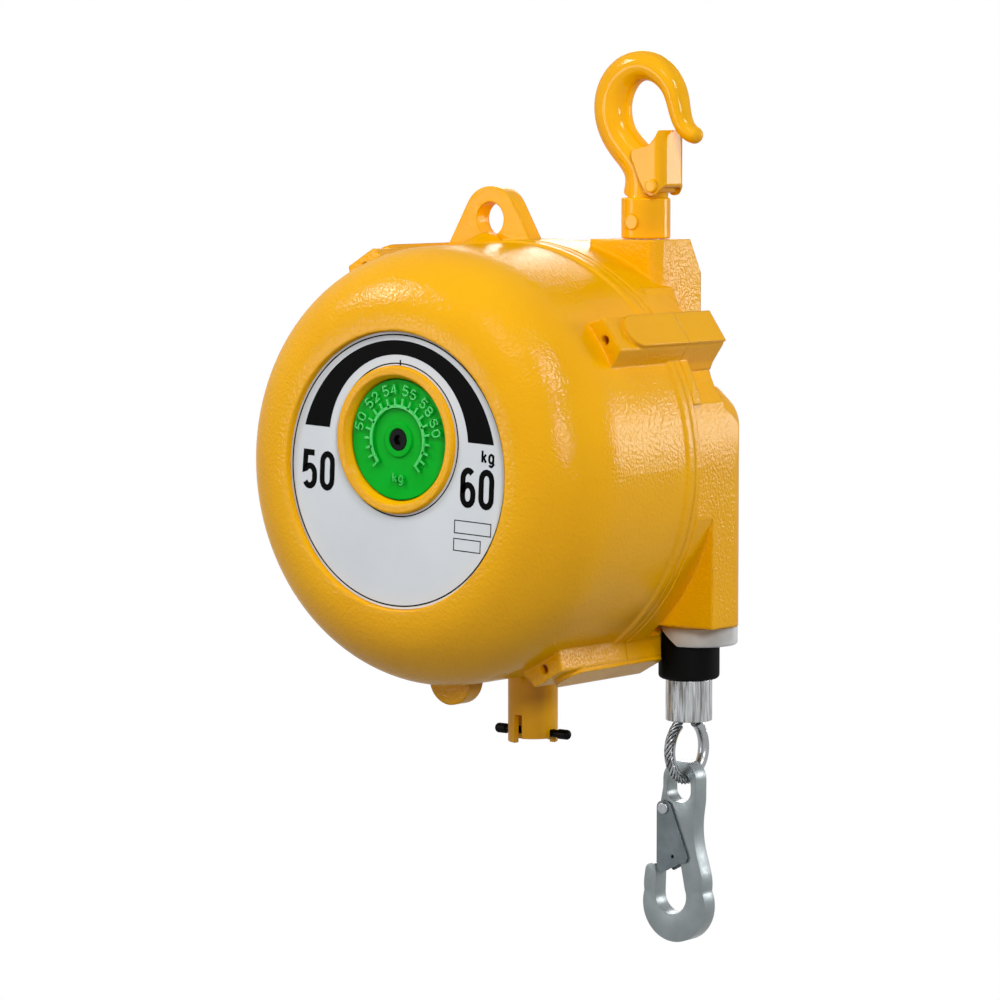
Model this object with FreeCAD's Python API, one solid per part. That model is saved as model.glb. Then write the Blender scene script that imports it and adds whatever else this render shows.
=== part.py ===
import FreeCAD, Part
import math
import os

os.makedirs("parts", exist_ok=True)

# A spring balancer: a steel rope on a tapered drum, wound back by a flat spiral spring in a
# two-part aluminium case. It hangs by a swivelling safety hook and carries a tool on a snap hook.
#
# Everything is laid out from the case: x to the right, y to the back, z up, with y = 0 on the
# face of the scale plate and x = z = 0 on the axis of the round case. The finished pieces are
# moved so that the origin is the saddle of the top hook, the point that the balancer hangs by.
# All sizes are in millimetres.

# ---- main layout ----
dial_z = 19.3            # the shaft and the dial stand this much above the case's axis
seam_y = 129.5           # joint face between the front case and the rear housing
flange_back_y = 137.5    # back of the flange that carries the joint
band_back_y = 147.5      # back of the full-width band under the rope column's side
body_back_y = 168.0      # back of the full-width part of the rear housing
drum_back_y = 205.0      # back of the drum housing
hook_x = 59.6            # swivel axis of the top hook
hook_y = 183.0
saddle_z = 243.7         # inside of the top hook's bow
rope_x = 92.6            # the rope's line at rest, and so the drum's smallest rope radius
rope_y = 186.5
column_x = 102.0         # column and guide that the rope comes out of
column_y = 184.5
lock_x = -5.0            # drum lock under the case
lock_y = 147.5

# ---- clearances ----
slide_gap = 0.05         # radial, a shaft or rope in its bore
free_gap = 0.3           # between pieces that pass each other
weld_in = 1.0            # depth that a cast feature runs into its wall

# ---- case ----
body_r = 140.0
rim_rise = 1.5
rim_r = body_r + rim_rise
rim_front = 12.5         # width of the rim on the front case
rim_groove = 0.9         # V-groove round the middle of the rim
rear_step = 0.3          # the rear housing stands this much proud of the rim
rear_r = rim_r + rear_step
case_wall = 5.0
front_wall = 6.2
lip_y = -4.0             # the case's front edge stands proud of the scale plate
bowl_r = 49.0            # big corner of the bowl
bowl_draft = 0.6         # the bowl's side is this much narrower at its corner
bowl_side = body_r - bowl_draft
bowl_inner_r = 45.0
plate_r = 87.1
plate_t = 0.8
bezel_r = 46.5
bezel_bore = 38.6
bezel_mouth = 41.0
bezel_y = -3.0
floor_y = 7.0            # floor of the dial's pocket
floor_t = 6.0

# ---- ears that the case is bolted together at ----
ear_angles = (35.0, 120.5, 214.0, -60.5)
ear_front_y = 58.5
ear_back_y = 169.0
ear_rise = 11.5          # the ears' flat tops over the case
ear_top = body_r + ear_rise
ear_foot = body_r - 2.0
ear_half = 12.0
ear_foot_half = 17.0
pad_rise = 2.6
pad_start = 24.0
bolt_rise = 4.3
bolt_circle = body_r + bolt_rise
bolt_r = 3.0
bolt_head_r = 5.0
bolt_head_h = 6.0
bolt_tip_y = 84.0

# ---- dial, shaft and worm drive ----
dial_r = 37.9
dial_y = 2.0
dial_t = 4.6
dial_hub_r = 11.0
dial_hub_rise = 1.2
screw_head_r = 6.6
screw_head_h = 4.0
screw_r = 4.0
screw_len = 18.0
socket_r = 3.4
shaft_r = 10.0
bush_t = 3.0
wheel_y = 15.5
wheel_w = 13.0
wheel_teeth = 38
tooth_m = 2.25
worm_r = 8.5
worm_core_r = 6.3
worm_turns = 5
worm_shaft_r = 6.0
worm_end_x = -121.0
worm_far_x = 34.0
hex_across = 8.0

# ---- mainspring and its case ----
spring_room = 24.5       # between the spring's case and the inside of the main case
spring_case_r = body_r - case_wall - spring_room
spring_case_y = 50.0
spring_case_wall = 3.0
cover_t = 3.0
disc_y = 140.0
disc_t = 16.0
arbor_r = 24.0
spring_t = 1.6
spring_coils = 13
spring_inset = 3.0       # between the strip's edges and the ends of its case

# ---- drum and rope ----
rope_r = 3.0
turns = 4                # grooves on the drum
turn_step_r = 5.4        # each groove is this much further out
turn_step_y = 6.2        # and this much nearer the front
drum_front_y = 156.0
drum_back = 193.5
flange_w = 3.0
drum_screw_r = 3.0
drum_screw_circle = 60.0
bearing_r = 21.0
bearing_w = 12.0
race_t = 3.0
ball_r = 2.9
ball_count = 9

# ---- drum housing ----
drum_cavity_r = 114.5
drum_cavity_tail_r = 101.0
drum_wall = 4.5
cap_r = 40.0
cap_t = 5.0

# ---- column, guide, stopper and rope end ----
column_r = 25.2
column_bottom = -107.2
side_inset = 2.0
column_side = body_r - side_inset   # flat outer side of the column's casting
side_bottom = column_bottom + 3.0
side_back_y = 186.0
side_top = 40.0          # the side ends here in a slope down from the waist
slope_height = 10.0
waist_step = 6.0         # the rear housing steps in by this above the column and below it
waist_r = body_r - waist_step
waist_wall = 7.0
column_cone_z = 32.0    # the column's cone starts here, with a large rounding
column_peak = 47.8
column_peak_r = 10.7
guide_drop = 11.8
guide_bore_x = 98.0
guide_bore_y = 183.0
guide_spigot_r = 18.9
guide_spigot_h = 34.0
guide_slot_r = 4.2
stopper_r = 19.9
stopper_bottom = -142.4
stopper_recess = 11.0
ferrule_r = 15.2
ferrule_len = 27.4
rope_grip = 12.0         # the rope runs this far down into the ferrule
loop_r = 20.2            # rope loop, centreline
loop_leg = 8.5           # half the distance of its legs at the ferrule
leg_grip = 4.0           # the legs run this far into the ferrule
thimble_gap = 3.0        # the thimble starts this far below the ferrule
loop_drop = 19.0         # loop's centre below the ferrule
thimble_t = 1.3
loop_y = rope_y - 2.2     # the loop sits a little in front of the rope's line
hook_plate_y = rope_y - 1.0   # middle plane of the snap hook

# ---- lower hook ----
plate_w = 11.8
hook_sheet = 1.5

# ---- top hook ----
collar_r = 15.9
collar_h = 26.3
block_top = 142.0
block_half = 26.2
block_front_y = 158.0
block_back_y = 208.0
stud_r = 10.0
stud_depth = 14.0
lug_x = -29.2
lug_z = 154.5
lug_r = 21.4
lug_hole_r = 11.0
lug_y = 133.0
lug_t = 13.0
fairing_len = 46.0       # rounded cone that leads from the bowl up to the lug
fairing_r = 18.0
fairing_tip_r = 5.0

# ---- drum lock ----
lock_r = 16.4
lock_bore = 12.0
lock_bottom = -187.6
lock_short = 3.2         # one wall of the slotted end is this much shorter
lock_slot = 6.0
lock_slot_top = -169.0
handle_r = 2.5
handle_z = -181.3
handle_half = 25.8
knob_r = 3.3
knob_len = 9.5
lock_pin_r = 6.0
lock_tip = -95.0
lock_shoulder_z = -143.0
keeper_r = 2.5
keeper_half = 8.0
keeper_z = block_top - 7.5
cap_screw_r = 2.5
cap_screw_circle = 33.0

# half-round lug under the front case
lug_low_x = -7.0
lug_low_z = -138.2
lug_low_r = 16.8
lug_low_y = 62.0
lug_low_t = 13.0

# lower snap hook, a flat forging in the XZ plane, and its latch
eye_w = 19.0
eye_h = 19.0
hook_eye_z = -214.15      # middle of the eye
jaw_x = rope_x - 9.1     # middle of the round throat
jaw_z = -285.5
jaw_r = 12.3
hook_round_r = 24.6
hook_round_x = rope_x - 6.7
hook_round_z = -291.2
pivot_x = rope_x - 14.0
pivot_z = -228.0
pivot_r = 2.4

# top hook
# Points of the forging's centreline from the shank round to the tip, measured from the saddle,
# each with its half-width in the hook's plane and its half-depth along Y.
bow = [(0.0, -76.0, 15.0, 11.5), (0.0, -64.0, 15.0, 11.5), (-6.0, -51.3, 12.6, 11.2), (-18.8, -38.0, 12.0, 10.8),
       (-26.4, -18.5, 13.2, 10.4), (-20.6, 0.0, 12.6, 10.0), (-3.6, 9.9, 10.0, 9.6), (13.5, 5.0, 8.8, 8.8),
       (24.0, -9.5, 7.7, 8.0), (27.6, -22.5, 7.0, 7.0), (33.4, -31.8, 6.2, 6.2), (38.2, -34.6, 5.6, 5.6)]
latch_x = 14.1
latch_z = -67.3
latch_hole_r = 3.0
latch_sheet = 1.5
latch_inside = 11.9

X = FreeCAD.Vector(1, 0, 0)
Y = FreeCAD.Vector(0, 1, 0)
Z = FreeCAD.Vector(0, 0, 1)


def at(x, y, z):
    return FreeCAD.Vector(x, y, z)


# ---- drawing helpers ----

def rounded(corners):
    """Closed outline of straight sides; each corner is (a, b) or (a, b, radius)."""
    count = len(corners)
    pieces = []
    for i, corner in enumerate(corners):
        before = corners[i - 1]
        after = corners[(i + 1) % count]
        here = FreeCAD.Vector(corner[0], corner[1], 0)
        radius = corner[2] if len(corner) > 2 else 0.0
        to_before = (FreeCAD.Vector(before[0], before[1], 0) - here).normalize()
        to_after = (FreeCAD.Vector(after[0], after[1], 0) - here).normalize()
        turn = to_before.getAngle(to_after)
        if radius <= 0 or math.pi - turn < 1e-6:
            pieces.append((here,))
            continue
        reach = radius / math.tan(turn / 2)
        middle = (to_before + to_after).normalize()
        centre = here + middle * (radius / math.sin(turn / 2))
        pieces.append((here + to_before * reach, centre - middle * radius, here + to_after * reach))
    edges = []
    for i, piece in enumerate(pieces):
        if len(piece) == 3:
            edges.append(Part.Arc(*piece).toShape())
        start = piece[-1]
        end = pieces[(i + 1) % count][0]
        if start.distanceToPoint(end) > 1e-6:
            edges.append(Part.LineSegment(start, end).toShape())
    return Part.Wire(edges)


def plane_xz(shape):
    """Stand an outline drawn in (a, b) up in the XZ plane, facing the front."""
    return shape.rotated(at(0, 0, 0), X, 90)


def plate_xz(corners, y, thickness):
    """A plate with an outline in X and Z, from y to the back."""
    face = plane_xz(Part.Face(rounded(corners)))
    face.translate(at(0, y, 0))
    return face.extrude(Y * thickness)


def plate_yz(corners, x, thickness):
    face = Part.Face(rounded(corners))
    face = face.rotated(at(0, 0, 0), X, 90).rotated(at(0, 0, 0), Z, 90)
    face.translate(at(x, 0, 0))
    return face.extrude(X * thickness)


def turned(corners, x=0.0, z=0.0):
    """A body turned about an axis along Y; corners are (radius, y, corner radius)."""
    face = Part.Face(rounded(corners))
    solid = face.revolve(at(0, 0, 0), Y, 360)
    solid.translate(at(x, 0, z))
    return solid


def turned_z(corners, x, y):
    """A body turned about an upright axis; corners are (radius, z, corner radius)."""
    face = plane_xz(Part.Face(rounded(corners)))
    solid = face.revolve(at(0, 0, 0), Z, 360)
    solid.translate(at(x, y, 0))
    return solid


def rod(radius, start, end):
    line = end - start
    return Part.makeCylinder(radius, line.Length, start, line)


def rod_y(radius, x, z, y0, y1):
    return rod(radius, at(x, y0, z), at(x, y1, z))


def rod_z(radius, x, y, z0, z1):
    return rod(radius, at(x, y, z0), at(x, y, z1))


def box(x0, x1, y0, y1, z0, z1):
    return Part.makeBox(x1 - x0, y1 - y0, z1 - z0, at(x0, y0, z0))


def hexagon(across, start, length, direction):
    """A hexagonal prism along X, Y or Z."""
    corner = across / math.sqrt(3)
    points = [at(corner * math.cos(math.radians(60 * i)), corner * math.sin(math.radians(60 * i)), 0)
              for i in range(7)]
    prism = Part.Face(Part.makePolygon(points)).extrude(Z * length)
    prism.Placement = FreeCAD.Placement(start, FreeCAD.Rotation(Z, direction))
    return prism


def ring_of(solid, count, x, z, first=0.0):
    """Copies of a solid round an axis along Y."""
    return [solid.rotated(at(x, 0, z), Y, first + 360.0 * i / count) for i in range(count)]


def group(solids):
    return Part.makeCompound(solids)


def fuse(first, others):
    whole = first.multiFuse(others) if others else first
    return whole.removeSplitter()


def export(name, shape):
    placed = shape.copy()
    placed.translate(at(-hook_x, -hook_y, -saddle_z))
    placed.exportStep("parts/" + name + ".step")
    box_mm = placed.BoundBox
    print("%-20s solids %2d  volume %10.1f  valid %s  x %.1f..%.1f y %.1f..%.1f z %.1f..%.1f" % (
        name, len(placed.Solids), placed.Volume, placed.isValid(),
        box_mm.XMin, box_mm.XMax, box_mm.YMin, box_mm.YMax, box_mm.ZMin, box_mm.ZMax))


# ---- case ----

def ear(angle, y0, y1, with_pad, root):
    """One bolting ear: a bar along the case with a flat top and sloping flanks."""
    corners = [(ear_top, -ear_half, 1.5), (ear_top, ear_half, 1.5), (ear_foot, ear_foot_half, 3.0),
               (root, ear_foot_half + 3), (root, -ear_foot_half - 3), (ear_foot, -ear_foot_half, 3.0)]
    bar = plate_xz(corners, y0, y1 - y0)
    if with_pad:
        pad = box(ear_top - weld_in, ear_top + pad_rise, y0 + pad_start, y1, -ear_half + 0.6, ear_half - 0.6)
        nose = rod(ear_half - 0.6, at(ear_top - weld_in, y0 + pad_start, 0), at(ear_top + pad_rise, y0 + pad_start, 0))
        bar = bar.multiFuse([pad, nose])
    return bar.rotated(at(0, 0, 0), Y, -angle)


def ear_pads(y0, y1):
    pads = []
    for angle in ear_angles:
        pad = box(ear_top - weld_in, ear_top + pad_rise, y0, y1, -ear_half + 0.6, ear_half - 0.6)
        pads.append(pad.rotated(at(0, 0, 0), Y, -angle))
    return pads


def groove_y():
    return seam_y - rim_front / 2


def bolt_place(angle):
    return (bolt_circle * math.cos(math.radians(angle)), bolt_circle * math.sin(math.radians(angle)))


def bowl_outside():
    return turned([(0, lip_y), (bowl_side, lip_y, bowl_r), (body_r, seam_y - rim_front - 2, 1.0),
                   (rim_r, seam_y - rim_front, 1.0), (rim_r, seam_y, 0.7), (0, seam_y)])


def worm_z():
    return dial_z - tooth_m * wheel_teeth / 2 - tooth_m - worm_r - free_gap


def worm_y():
    return wheel_y + wheel_w / 2


def front_case():
    inner_side = body_r - case_wall
    inner_front = plate_t + front_wall
    shell = turned([(0, plate_t), (plate_r + 0.4, plate_t), (plate_r + 0.4, lip_y, 0.8),
                    (bowl_side, lip_y, bowl_r), (body_r, seam_y - rim_front - 2, 1.0),
                    (rim_r, seam_y - rim_front, 1.0), (rim_r, groove_y() - rim_groove, 0.4), (rim_r - rim_groove, groove_y()),
                    (rim_r, groove_y() + rim_groove, 0.4), (rim_r, seam_y, 0.8), (inner_side, seam_y),
                    (inner_side, inner_front, bowl_inner_r), (0, inner_front)])
    bezel = turned([(0, bezel_y), (bezel_r, bezel_y, 1.0), (bezel_r, floor_y + floor_t), (0, floor_y + floor_t)],
                   0, dial_z)
    outside = bowl_outside()
    worm_boss = [rod(worm_shaft_r + 8, at(-inner_side - 4, worm_y(), worm_z()), at(worm_end_x + 34, worm_y(), worm_z())),
                 rod(worm_shaft_r + 7, at(worm_far_x - 12, worm_y(), worm_z()), at(worm_far_x, worm_y(), worm_z()))]
    foot = box(worm_far_x - 12, worm_far_x, plate_t + 1, worm_y(), worm_z() - worm_shaft_r - 7, worm_z() + worm_shaft_r + 7)
    inner_bosses = [boss.common(outside) for boss in worm_boss + [foot]]
    ears = []
    for angle in ear_angles:
        ears.append(ear(angle, ear_front_y, seam_y, True, inner_side + weld_in))
    lug = rod_y(lug_low_r, lug_low_x, lug_low_z, lug_low_y, lug_low_y + lug_low_t)
    lug = lug.cut(rod_y(body_r - case_wall + weld_in, 0, 0, lug_low_y - 1, lug_low_y + lug_low_t + 1))
    fairing = Part.makeCone(fairing_tip_r, fairing_r, fairing_len, at(lug_x, seam_y - fairing_len, body_r - 12), Y)
    fairing = fairing.cut(rod_y(inner_side + weld_in, 0, 0, 50, seam_y + 1))
    case = fuse(shell, [bezel] + inner_bosses + ears + [lug, fairing])
    cuts = [turned([(0, bezel_y - 1), (bezel_mouth + 0.6, bezel_y - 1), (bezel_bore, plate_t + 0.2),
                    (bezel_bore, floor_y), (0, floor_y)], 0, dial_z),
            rod_y(shaft_r + bush_t, 0, dial_z, floor_y - 1, floor_y + floor_t + 1),
            rod(worm_shaft_r + slide_gap, at(worm_end_x - 1, worm_y(), worm_z()), at(worm_far_x + 1, worm_y(), worm_z())),
            rod(worm_shaft_r + 4, at(-rim_r, worm_y(), worm_z()), at(worm_end_x + 0.5, worm_y(), worm_z()))]
    for angle in ear_angles:
        x, z = bolt_place(angle)
        cuts.append(rod_y(bolt_r + slide_gap, x, z, ear_front_y - 1, seam_y + 1))
    return case.cut(group(cuts)).removeSplitter()


def drum_housing_outside():
    """Outside of the drum housing, tapered towards the back."""
    tail = drum_cavity_tail_r + drum_wall
    return turned([(0, body_back_y - 20), (drum_cavity_r + drum_wall, body_back_y - 20),
                   (drum_cavity_r + drum_wall, 180.0, 6.0), (tail, drum_back_y - 6, 5.0),
                   (tail - 8, drum_back_y, 5.0), (0, drum_back_y)], 0, dial_z)


def drum_cavity():
    return turned([(0, seam_y), (drum_cavity_r, seam_y), (drum_cavity_r, 177.5), (drum_cavity_tail_r, 187.5),
                   (drum_cavity_tail_r, drum_back_y - drum_wall - 3, 3.0), (0, drum_back_y - drum_wall - 3)], 0, dial_z)


def wedge_beside(angle_0, angle_1, y0):
    """Space outside the waist, between two angles above the level, from y0 to the back."""
    reach = rear_r + 15.0
    corners = [(0, 0)] + [(reach * math.cos(math.radians(a)), reach * math.sin(math.radians(a)))
                          for a in (angle_0, (angle_0 + angle_1) / 2, angle_1)]
    return plate_xz(corners, y0, body_back_y + 1 - y0).cut(rod_y(waist_r, 0, 0, y0 - 1, body_back_y + 2))


def above_slope():
    """Everything over the slope that joins the waist to the column's side."""
    foot_x = math.sqrt(column_side ** 2 - side_top ** 2)
    head_x = math.sqrt(waist_r ** 2 - (side_top + slope_height) ** 2)
    lean = (foot_x - head_x) / slope_height
    reach = 30.0
    return plate_xz([(foot_x + lean * reach, side_top - reach), (foot_x - lean * reach, side_top + reach),
                     (rear_r + 60, side_top + 60), (rear_r + 60, side_top - reach)], seam_y - 1, drum_back_y - seam_y)


def beside_column():
    """Everything outside the column's flat side and the arc that carries it on upwards."""
    block = box(column_side - 40, rear_r + 20, seam_y - 1, drum_back_y, side_bottom - 5, side_top)
    kept = rod_y(column_side, 0, 0, seam_y - 2, drum_back_y + 1)
    return block.cut(group([kept, box(0, column_side, seam_y - 2, drum_back_y + 1, side_bottom - 6, 0)]))


def column_flank():
    """Square casting from the joint back to the column, with a flat side and rounded corners."""
    plan = Part.Face(rounded([(60, seam_y), (column_side + 6, seam_y), (column_side + 6, band_back_y),
                              (column_side, band_back_y), (column_side, side_back_y, 14), (60, side_back_y)]))
    plan.translate(at(0, 0, side_bottom))
    prism = plan.extrude(Z * (side_top - side_bottom))
    profile = plate_yz([(band_back_y, side_bottom - 1), (side_back_y + 1, side_bottom - 1),
                        (side_back_y + 1, side_top, 36), (band_back_y, side_top)], 59, column_side - 50)
    return prism.common(profile).cut(beside_column())


def rear_housing():
    inner_side = body_r - case_wall
    shell = turned([(0, seam_y), (rear_r, seam_y, 0.8), (rear_r, body_back_y, 7.0), (0, body_back_y)])
    side_angle = math.degrees(math.asin(side_top / column_side))
    upper = wedge_beside(side_angle - 8, ear_angles[0] - 5, flange_back_y).common(above_slope())
    ear_angle = min(ear_angles) + math.degrees(math.atan2(ear_foot_half, ear_foot)) + 1.0
    lower = wedge_beside(ear_angle, -math.degrees(math.acos(column_side / rear_r)), band_back_y)
    shell = shell.cut(group([upper, lower])).cut(beside_column())
    saddle = turned([(0, body_back_y - 12), (body_r, body_back_y - 12), (body_r, block_back_y, 4.0), (0, block_back_y)])
    saddle = saddle.common(box(lug_x - 22, hook_x + block_half - 4, body_back_y - 12, block_back_y, 60, rim_r))
    block = box(hook_x - block_half, hook_x + block_half, block_front_y, block_back_y, 50, block_top)
    upright = [edge for edge in block.Edges if abs(edge.tangentAt(edge.FirstParameter).z) > 0.9
               and edge.CenterOfMass.x > hook_x and edge.CenterOfMass.y < hook_y]
    block = block.makeFillet(9.0, upright)
    wedge = plate_yz([(block_back_y - 13, block_top + 1), (block_back_y + 1, block_top - 24), (block_back_y + 20, block_top - 24),
                      (block_back_y + 20, block_top + 1)], hook_x - block_half - 1, 2 * block_half + 2)
    block = block.cut(wedge)
    shoulder = plate_xz([(60, 100), (60, 115), (90, 112, 3), (97, 97, 2), (90, 88)], seam_y + 9, 31.0)
    column = turned_z([(0, column_bottom), (column_r, column_bottom, 1.0), (column_r, column_cone_z, 24.0),
                       (column_peak_r, column_peak, 1.0), (0, column_peak)], column_x, column_y)
    web = box(60, column_x, body_back_y - 8, column_y + 10, column_bottom + 30, column_cone_z)
    lug = eye_lug()
    ears = [ear(angle, seam_y, ear_back_y, False, waist_r - weld_in) for angle in ear_angles]
    solids = [drum_housing_outside(), saddle, block, shoulder, column, column_flank(), web, lug]
    housing = shell.multiFuse(solids + ears + ear_pads(seam_y, ear_back_y))
    cavity = turned([(0, seam_y - 1), (inner_side, seam_y - 1), (inner_side, body_back_y - case_wall - 2, 5.0),
                     (0, body_back_y - case_wall - 2)])
    thick = turned([(waist_r - waist_wall, seam_y), (body_r, seam_y), (body_r, body_back_y),
                    (waist_r - waist_wall, body_back_y)])
    cavity = cavity.cut(thick.common(box(body_r / 2, rear_r, seam_y, body_back_y, -body_r, waist_r * 0.63)))
    passage = rod_z(guide_spigot_r, guide_bore_x, guide_bore_y, column_bottom - 1, dial_z)
    cuts = [cavity, drum_cavity(), passage,
            rod_y(shaft_r + bush_t, 0, dial_z, drum_back_y - drum_wall - 5, drum_back_y + 1),
            rod_z(lock_r + slide_gap, lock_x, lock_y, lock_bottom, -100),
            rod_z(column_r, column_x, column_y, lock_bottom, column_bottom),
            rod_z(stud_r + slide_gap, hook_x, hook_y, block_top - stud_depth, block_top + 1),
            rod_y(lug_hole_r, lug_x, lug_z, lug_y - 1, lug_y + lug_t + 1)]
    for x in keeper_xs():
        cuts.append(rod_y(keeper_r, x, keeper_z, hook_y - keeper_half, block_back_y + 1))
    for angle in ear_angles:
        x, z = bolt_place(angle)
        cuts.append(rod_y(bolt_r + slide_gap, x, z, seam_y - 1, ear_back_y + 60))
        cuts.append(rod_y(bolt_head_r + 0.8, x, z, ear_back_y - 1, ear_back_y + 60))
    for x, z in cap_screws():
        cuts.append(rod_y(cap_screw_r + slide_gap, x, z, drum_back_y - 6, drum_back_y + 1))
    return housing.cut(group(cuts)).removeSplitter()


def eye_lug():
    """Eye for the safety chain, on top of the rear housing."""
    foot = 40.0
    base = 128.0
    touch = math.acos(lug_r / math.hypot(foot, lug_z - base))
    angle = touch - (math.pi / 2 - math.atan2(foot, lug_z - base)) + math.pi / 2
    side = lug_r * math.sin(angle)
    rise = lug_r * math.cos(angle)
    outline = [(lug_x - foot, base), (lug_x + foot, base), (lug_x + side, lug_z - rise), (lug_x - side, lug_z - rise)]
    web = plate_xz(outline, lug_y, lug_t)
    eye = rod_y(lug_r, lug_x, lug_z, lug_y, lug_y + lug_t)
    return web.fuse(eye)


def case_bolts():
    solids = []
    for angle in ear_angles:
        x, z = bolt_place(angle)
        shank = rod_y(bolt_r, x, z, bolt_tip_y, ear_back_y)
        head = rod_y(bolt_head_r, x, z, ear_back_y, ear_back_y + bolt_head_h)
        socket = hexagon(5.0, at(x, ear_back_y + 3, z), bolt_head_h, Y)
        solids.append(shank.fuse(head).cut(socket))
    return group(solids)


def cap_screws():
    return [(cap_screw_circle * math.cos(math.radians(45 + 90 * i)),
             dial_z + cap_screw_circle * math.sin(math.radians(45 + 90 * i))) for i in range(4)]


def rear_cap():
    cap = turned([(0, drum_back_y), (cap_r, drum_back_y), (cap_r, drum_back_y + cap_t, 1.5), (0, drum_back_y + cap_t)],
                 0, dial_z)
    cuts = [rod_y(cap_screw_r + slide_gap, x, z, drum_back_y - 1, drum_back_y + cap_t + 1) for x, z in cap_screws()]
    return cap.cut(group(cuts))


def rear_cap_screws():
    solids = []
    for x, z in cap_screws():
        shank = rod_y(cap_screw_r, x, z, drum_back_y - 5.5, drum_back_y + cap_t)
        head = rod_y(4.2, x, z, drum_back_y + cap_t, drum_back_y + cap_t + 3)
        solids.append(shank.fuse(head).cut(hexagon(3.0, at(x, drum_back_y + cap_t + 1, z), 3, Y)))
    return group(solids)


# ---- scale plate and dial ----

def scale_plate():
    plate = rod_y(plate_r, 0, 0, 0, plate_t)
    return plate.cut(rod_y(bezel_r + 0.2, 0, dial_z, -1, plate_t + 1))


def load_dial():
    back = dial_y + dial_t
    disc = turned([(screw_r + slide_gap, dial_y), (dial_r, dial_y, 0.6), (dial_r, back), (screw_r + slide_gap, back)],
                  0, dial_z)
    hub = turned([(screw_head_r + 0.5, dial_y - dial_hub_rise, 0.4), (dial_hub_r, dial_y - dial_hub_rise, 0.5),
                  (dial_hub_r, dial_y + 1), (screw_head_r + 0.5, dial_y + 1)], 0, dial_z)
    seat = rod_y(screw_head_r + 0.5, 0, dial_z, dial_y - 2, dial_y + 2.2)
    return disc.fuse(hub).cut(seat).removeSplitter()


def dial_screw():
    head_y = dial_y + 2.2
    head = rod_y(screw_head_r, 0, dial_z, head_y - screw_head_h + 0.8, head_y)
    shank = rod_y(screw_r, 0, dial_z, head_y, dial_y + dial_t + screw_len)
    socket = hexagon(6.0, at(0, head_y - screw_head_h, dial_z), 3.2, Y)
    return head.fuse(shank).cut(socket).removeSplitter()


# ---- shaft, worm wheel and worm ----

def main_shaft():
    front = dial_y + dial_t
    shaft = turned([(0, front), (shaft_r, front, 0.8), (shaft_r, drum_back_y - 0.5, 0.8), (0, drum_back_y - 0.5)], 0, dial_z)
    hole = rod_y(screw_r + slide_gap, 0, dial_z, front - 1, front + screw_len + 2)
    key = box(-3, 3, wheel_y - 0.5, wheel_y + wheel_w + 0.5, dial_z + shaft_r - 3, dial_z + shaft_r + 2)
    return shaft.cut(group([hole, key]))


def wheel_key():
    return box(-3, 3, wheel_y, wheel_y + wheel_w, dial_z + shaft_r - 3, dial_z + shaft_r + 2.5)


def shaft_bushes():
    front = turned([(shaft_r + slide_gap, floor_y + 0.2), (shaft_r + bush_t, floor_y + 0.2), (shaft_r + bush_t, floor_y + floor_t),
                    (shaft_r + slide_gap, floor_y + floor_t)], 0, dial_z)
    back = turned([(shaft_r + slide_gap, drum_back_y - drum_wall - 3), (shaft_r + bush_t, drum_back_y - drum_wall - 3),
                   (shaft_r + bush_t, drum_back_y), (shaft_r + slide_gap, drum_back_y)], 0, dial_z)
    return group([front, back])


def worm_wheel():
    """Wheel on the shaft: the worm turns it to set the spring."""
    root = tooth_m * wheel_teeth / 2 - 1.25 * tooth_m
    tip = tooth_m * wheel_teeth / 2 + tooth_m
    step = math.pi / wheel_teeth
    points = []
    for i in range(wheel_teeth):
        middle = 2 * math.pi * i / wheel_teeth
        for radius, offset in ((root, -0.62), (tip, -0.28), (tip, 0.28), (root, 0.62)):
            angle = middle + offset * step
            points.append(at(radius * math.cos(angle), wheel_y, dial_z + radius * math.sin(angle)))
    wheel = Part.Face(Part.makePolygon(points + points[:1])).extrude(Y * wheel_w)
    hub = turned([(0, wheel_y), (22, wheel_y), (22, wheel_y + wheel_w + 4), (0, wheel_y + wheel_w + 4)], 0, dial_z)
    holes = [rod_y(6, 0, dial_z + 31, wheel_y - 1, wheel_y + wheel_w + 1)]
    cuts = ring_of(holes[0], 6, 0, dial_z, 30)
    cuts.append(rod_y(shaft_r, 0, dial_z, wheel_y - 1, wheel_y + wheel_w + 6))
    cuts.append(box(-3, 3, wheel_y - 1, wheel_y + wheel_w, dial_z + shaft_r - 1, dial_z + shaft_r + 2.5))
    return wheel.fuse(hub).cut(group(cuts)).removeSplitter()


def worm_shaft():
    """Worm with its shaft; the end in the left wall takes a hexagon key."""
    z = worm_z()
    y = worm_y()
    pitch = math.pi * tooth_m
    shaft = rod(worm_shaft_r, at(worm_end_x, y, z), at(worm_far_x + 2, y, z))
    ridges = [rod(worm_core_r, at(-pitch * worm_turns / 2, y, z), at(pitch * worm_turns / 2, y, z))]
    for i in range(worm_turns):
        middle = (i - (worm_turns - 1) / 2) * pitch
        profile = Part.makePolygon([at(middle - 0.36 * pitch, y, z + worm_core_r - 0.5), at(middle - 0.16 * pitch, y, z + worm_r),
                                    at(middle + 0.16 * pitch, y, z + worm_r), at(middle + 0.36 * pitch, y, z + worm_core_r - 0.5),
                                    at(middle - 0.36 * pitch, y, z + worm_core_r - 0.5)])
        ridges.append(Part.Face(profile).revolve(at(0, y, z), X, 360))
    worm = fuse(shaft, ridges)
    return worm.cut(hexagon(hex_across, at(worm_end_x - 1, y, z), 11, X))


# ---- mainspring ----

def spring_arbor():
    y0 = spring_case_y + spring_inset
    y1 = disc_y - spring_inset
    return turned([(shaft_r, y0), (arbor_r, y0), (arbor_r, y1), (shaft_r, y1)], 0, dial_z)


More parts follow.
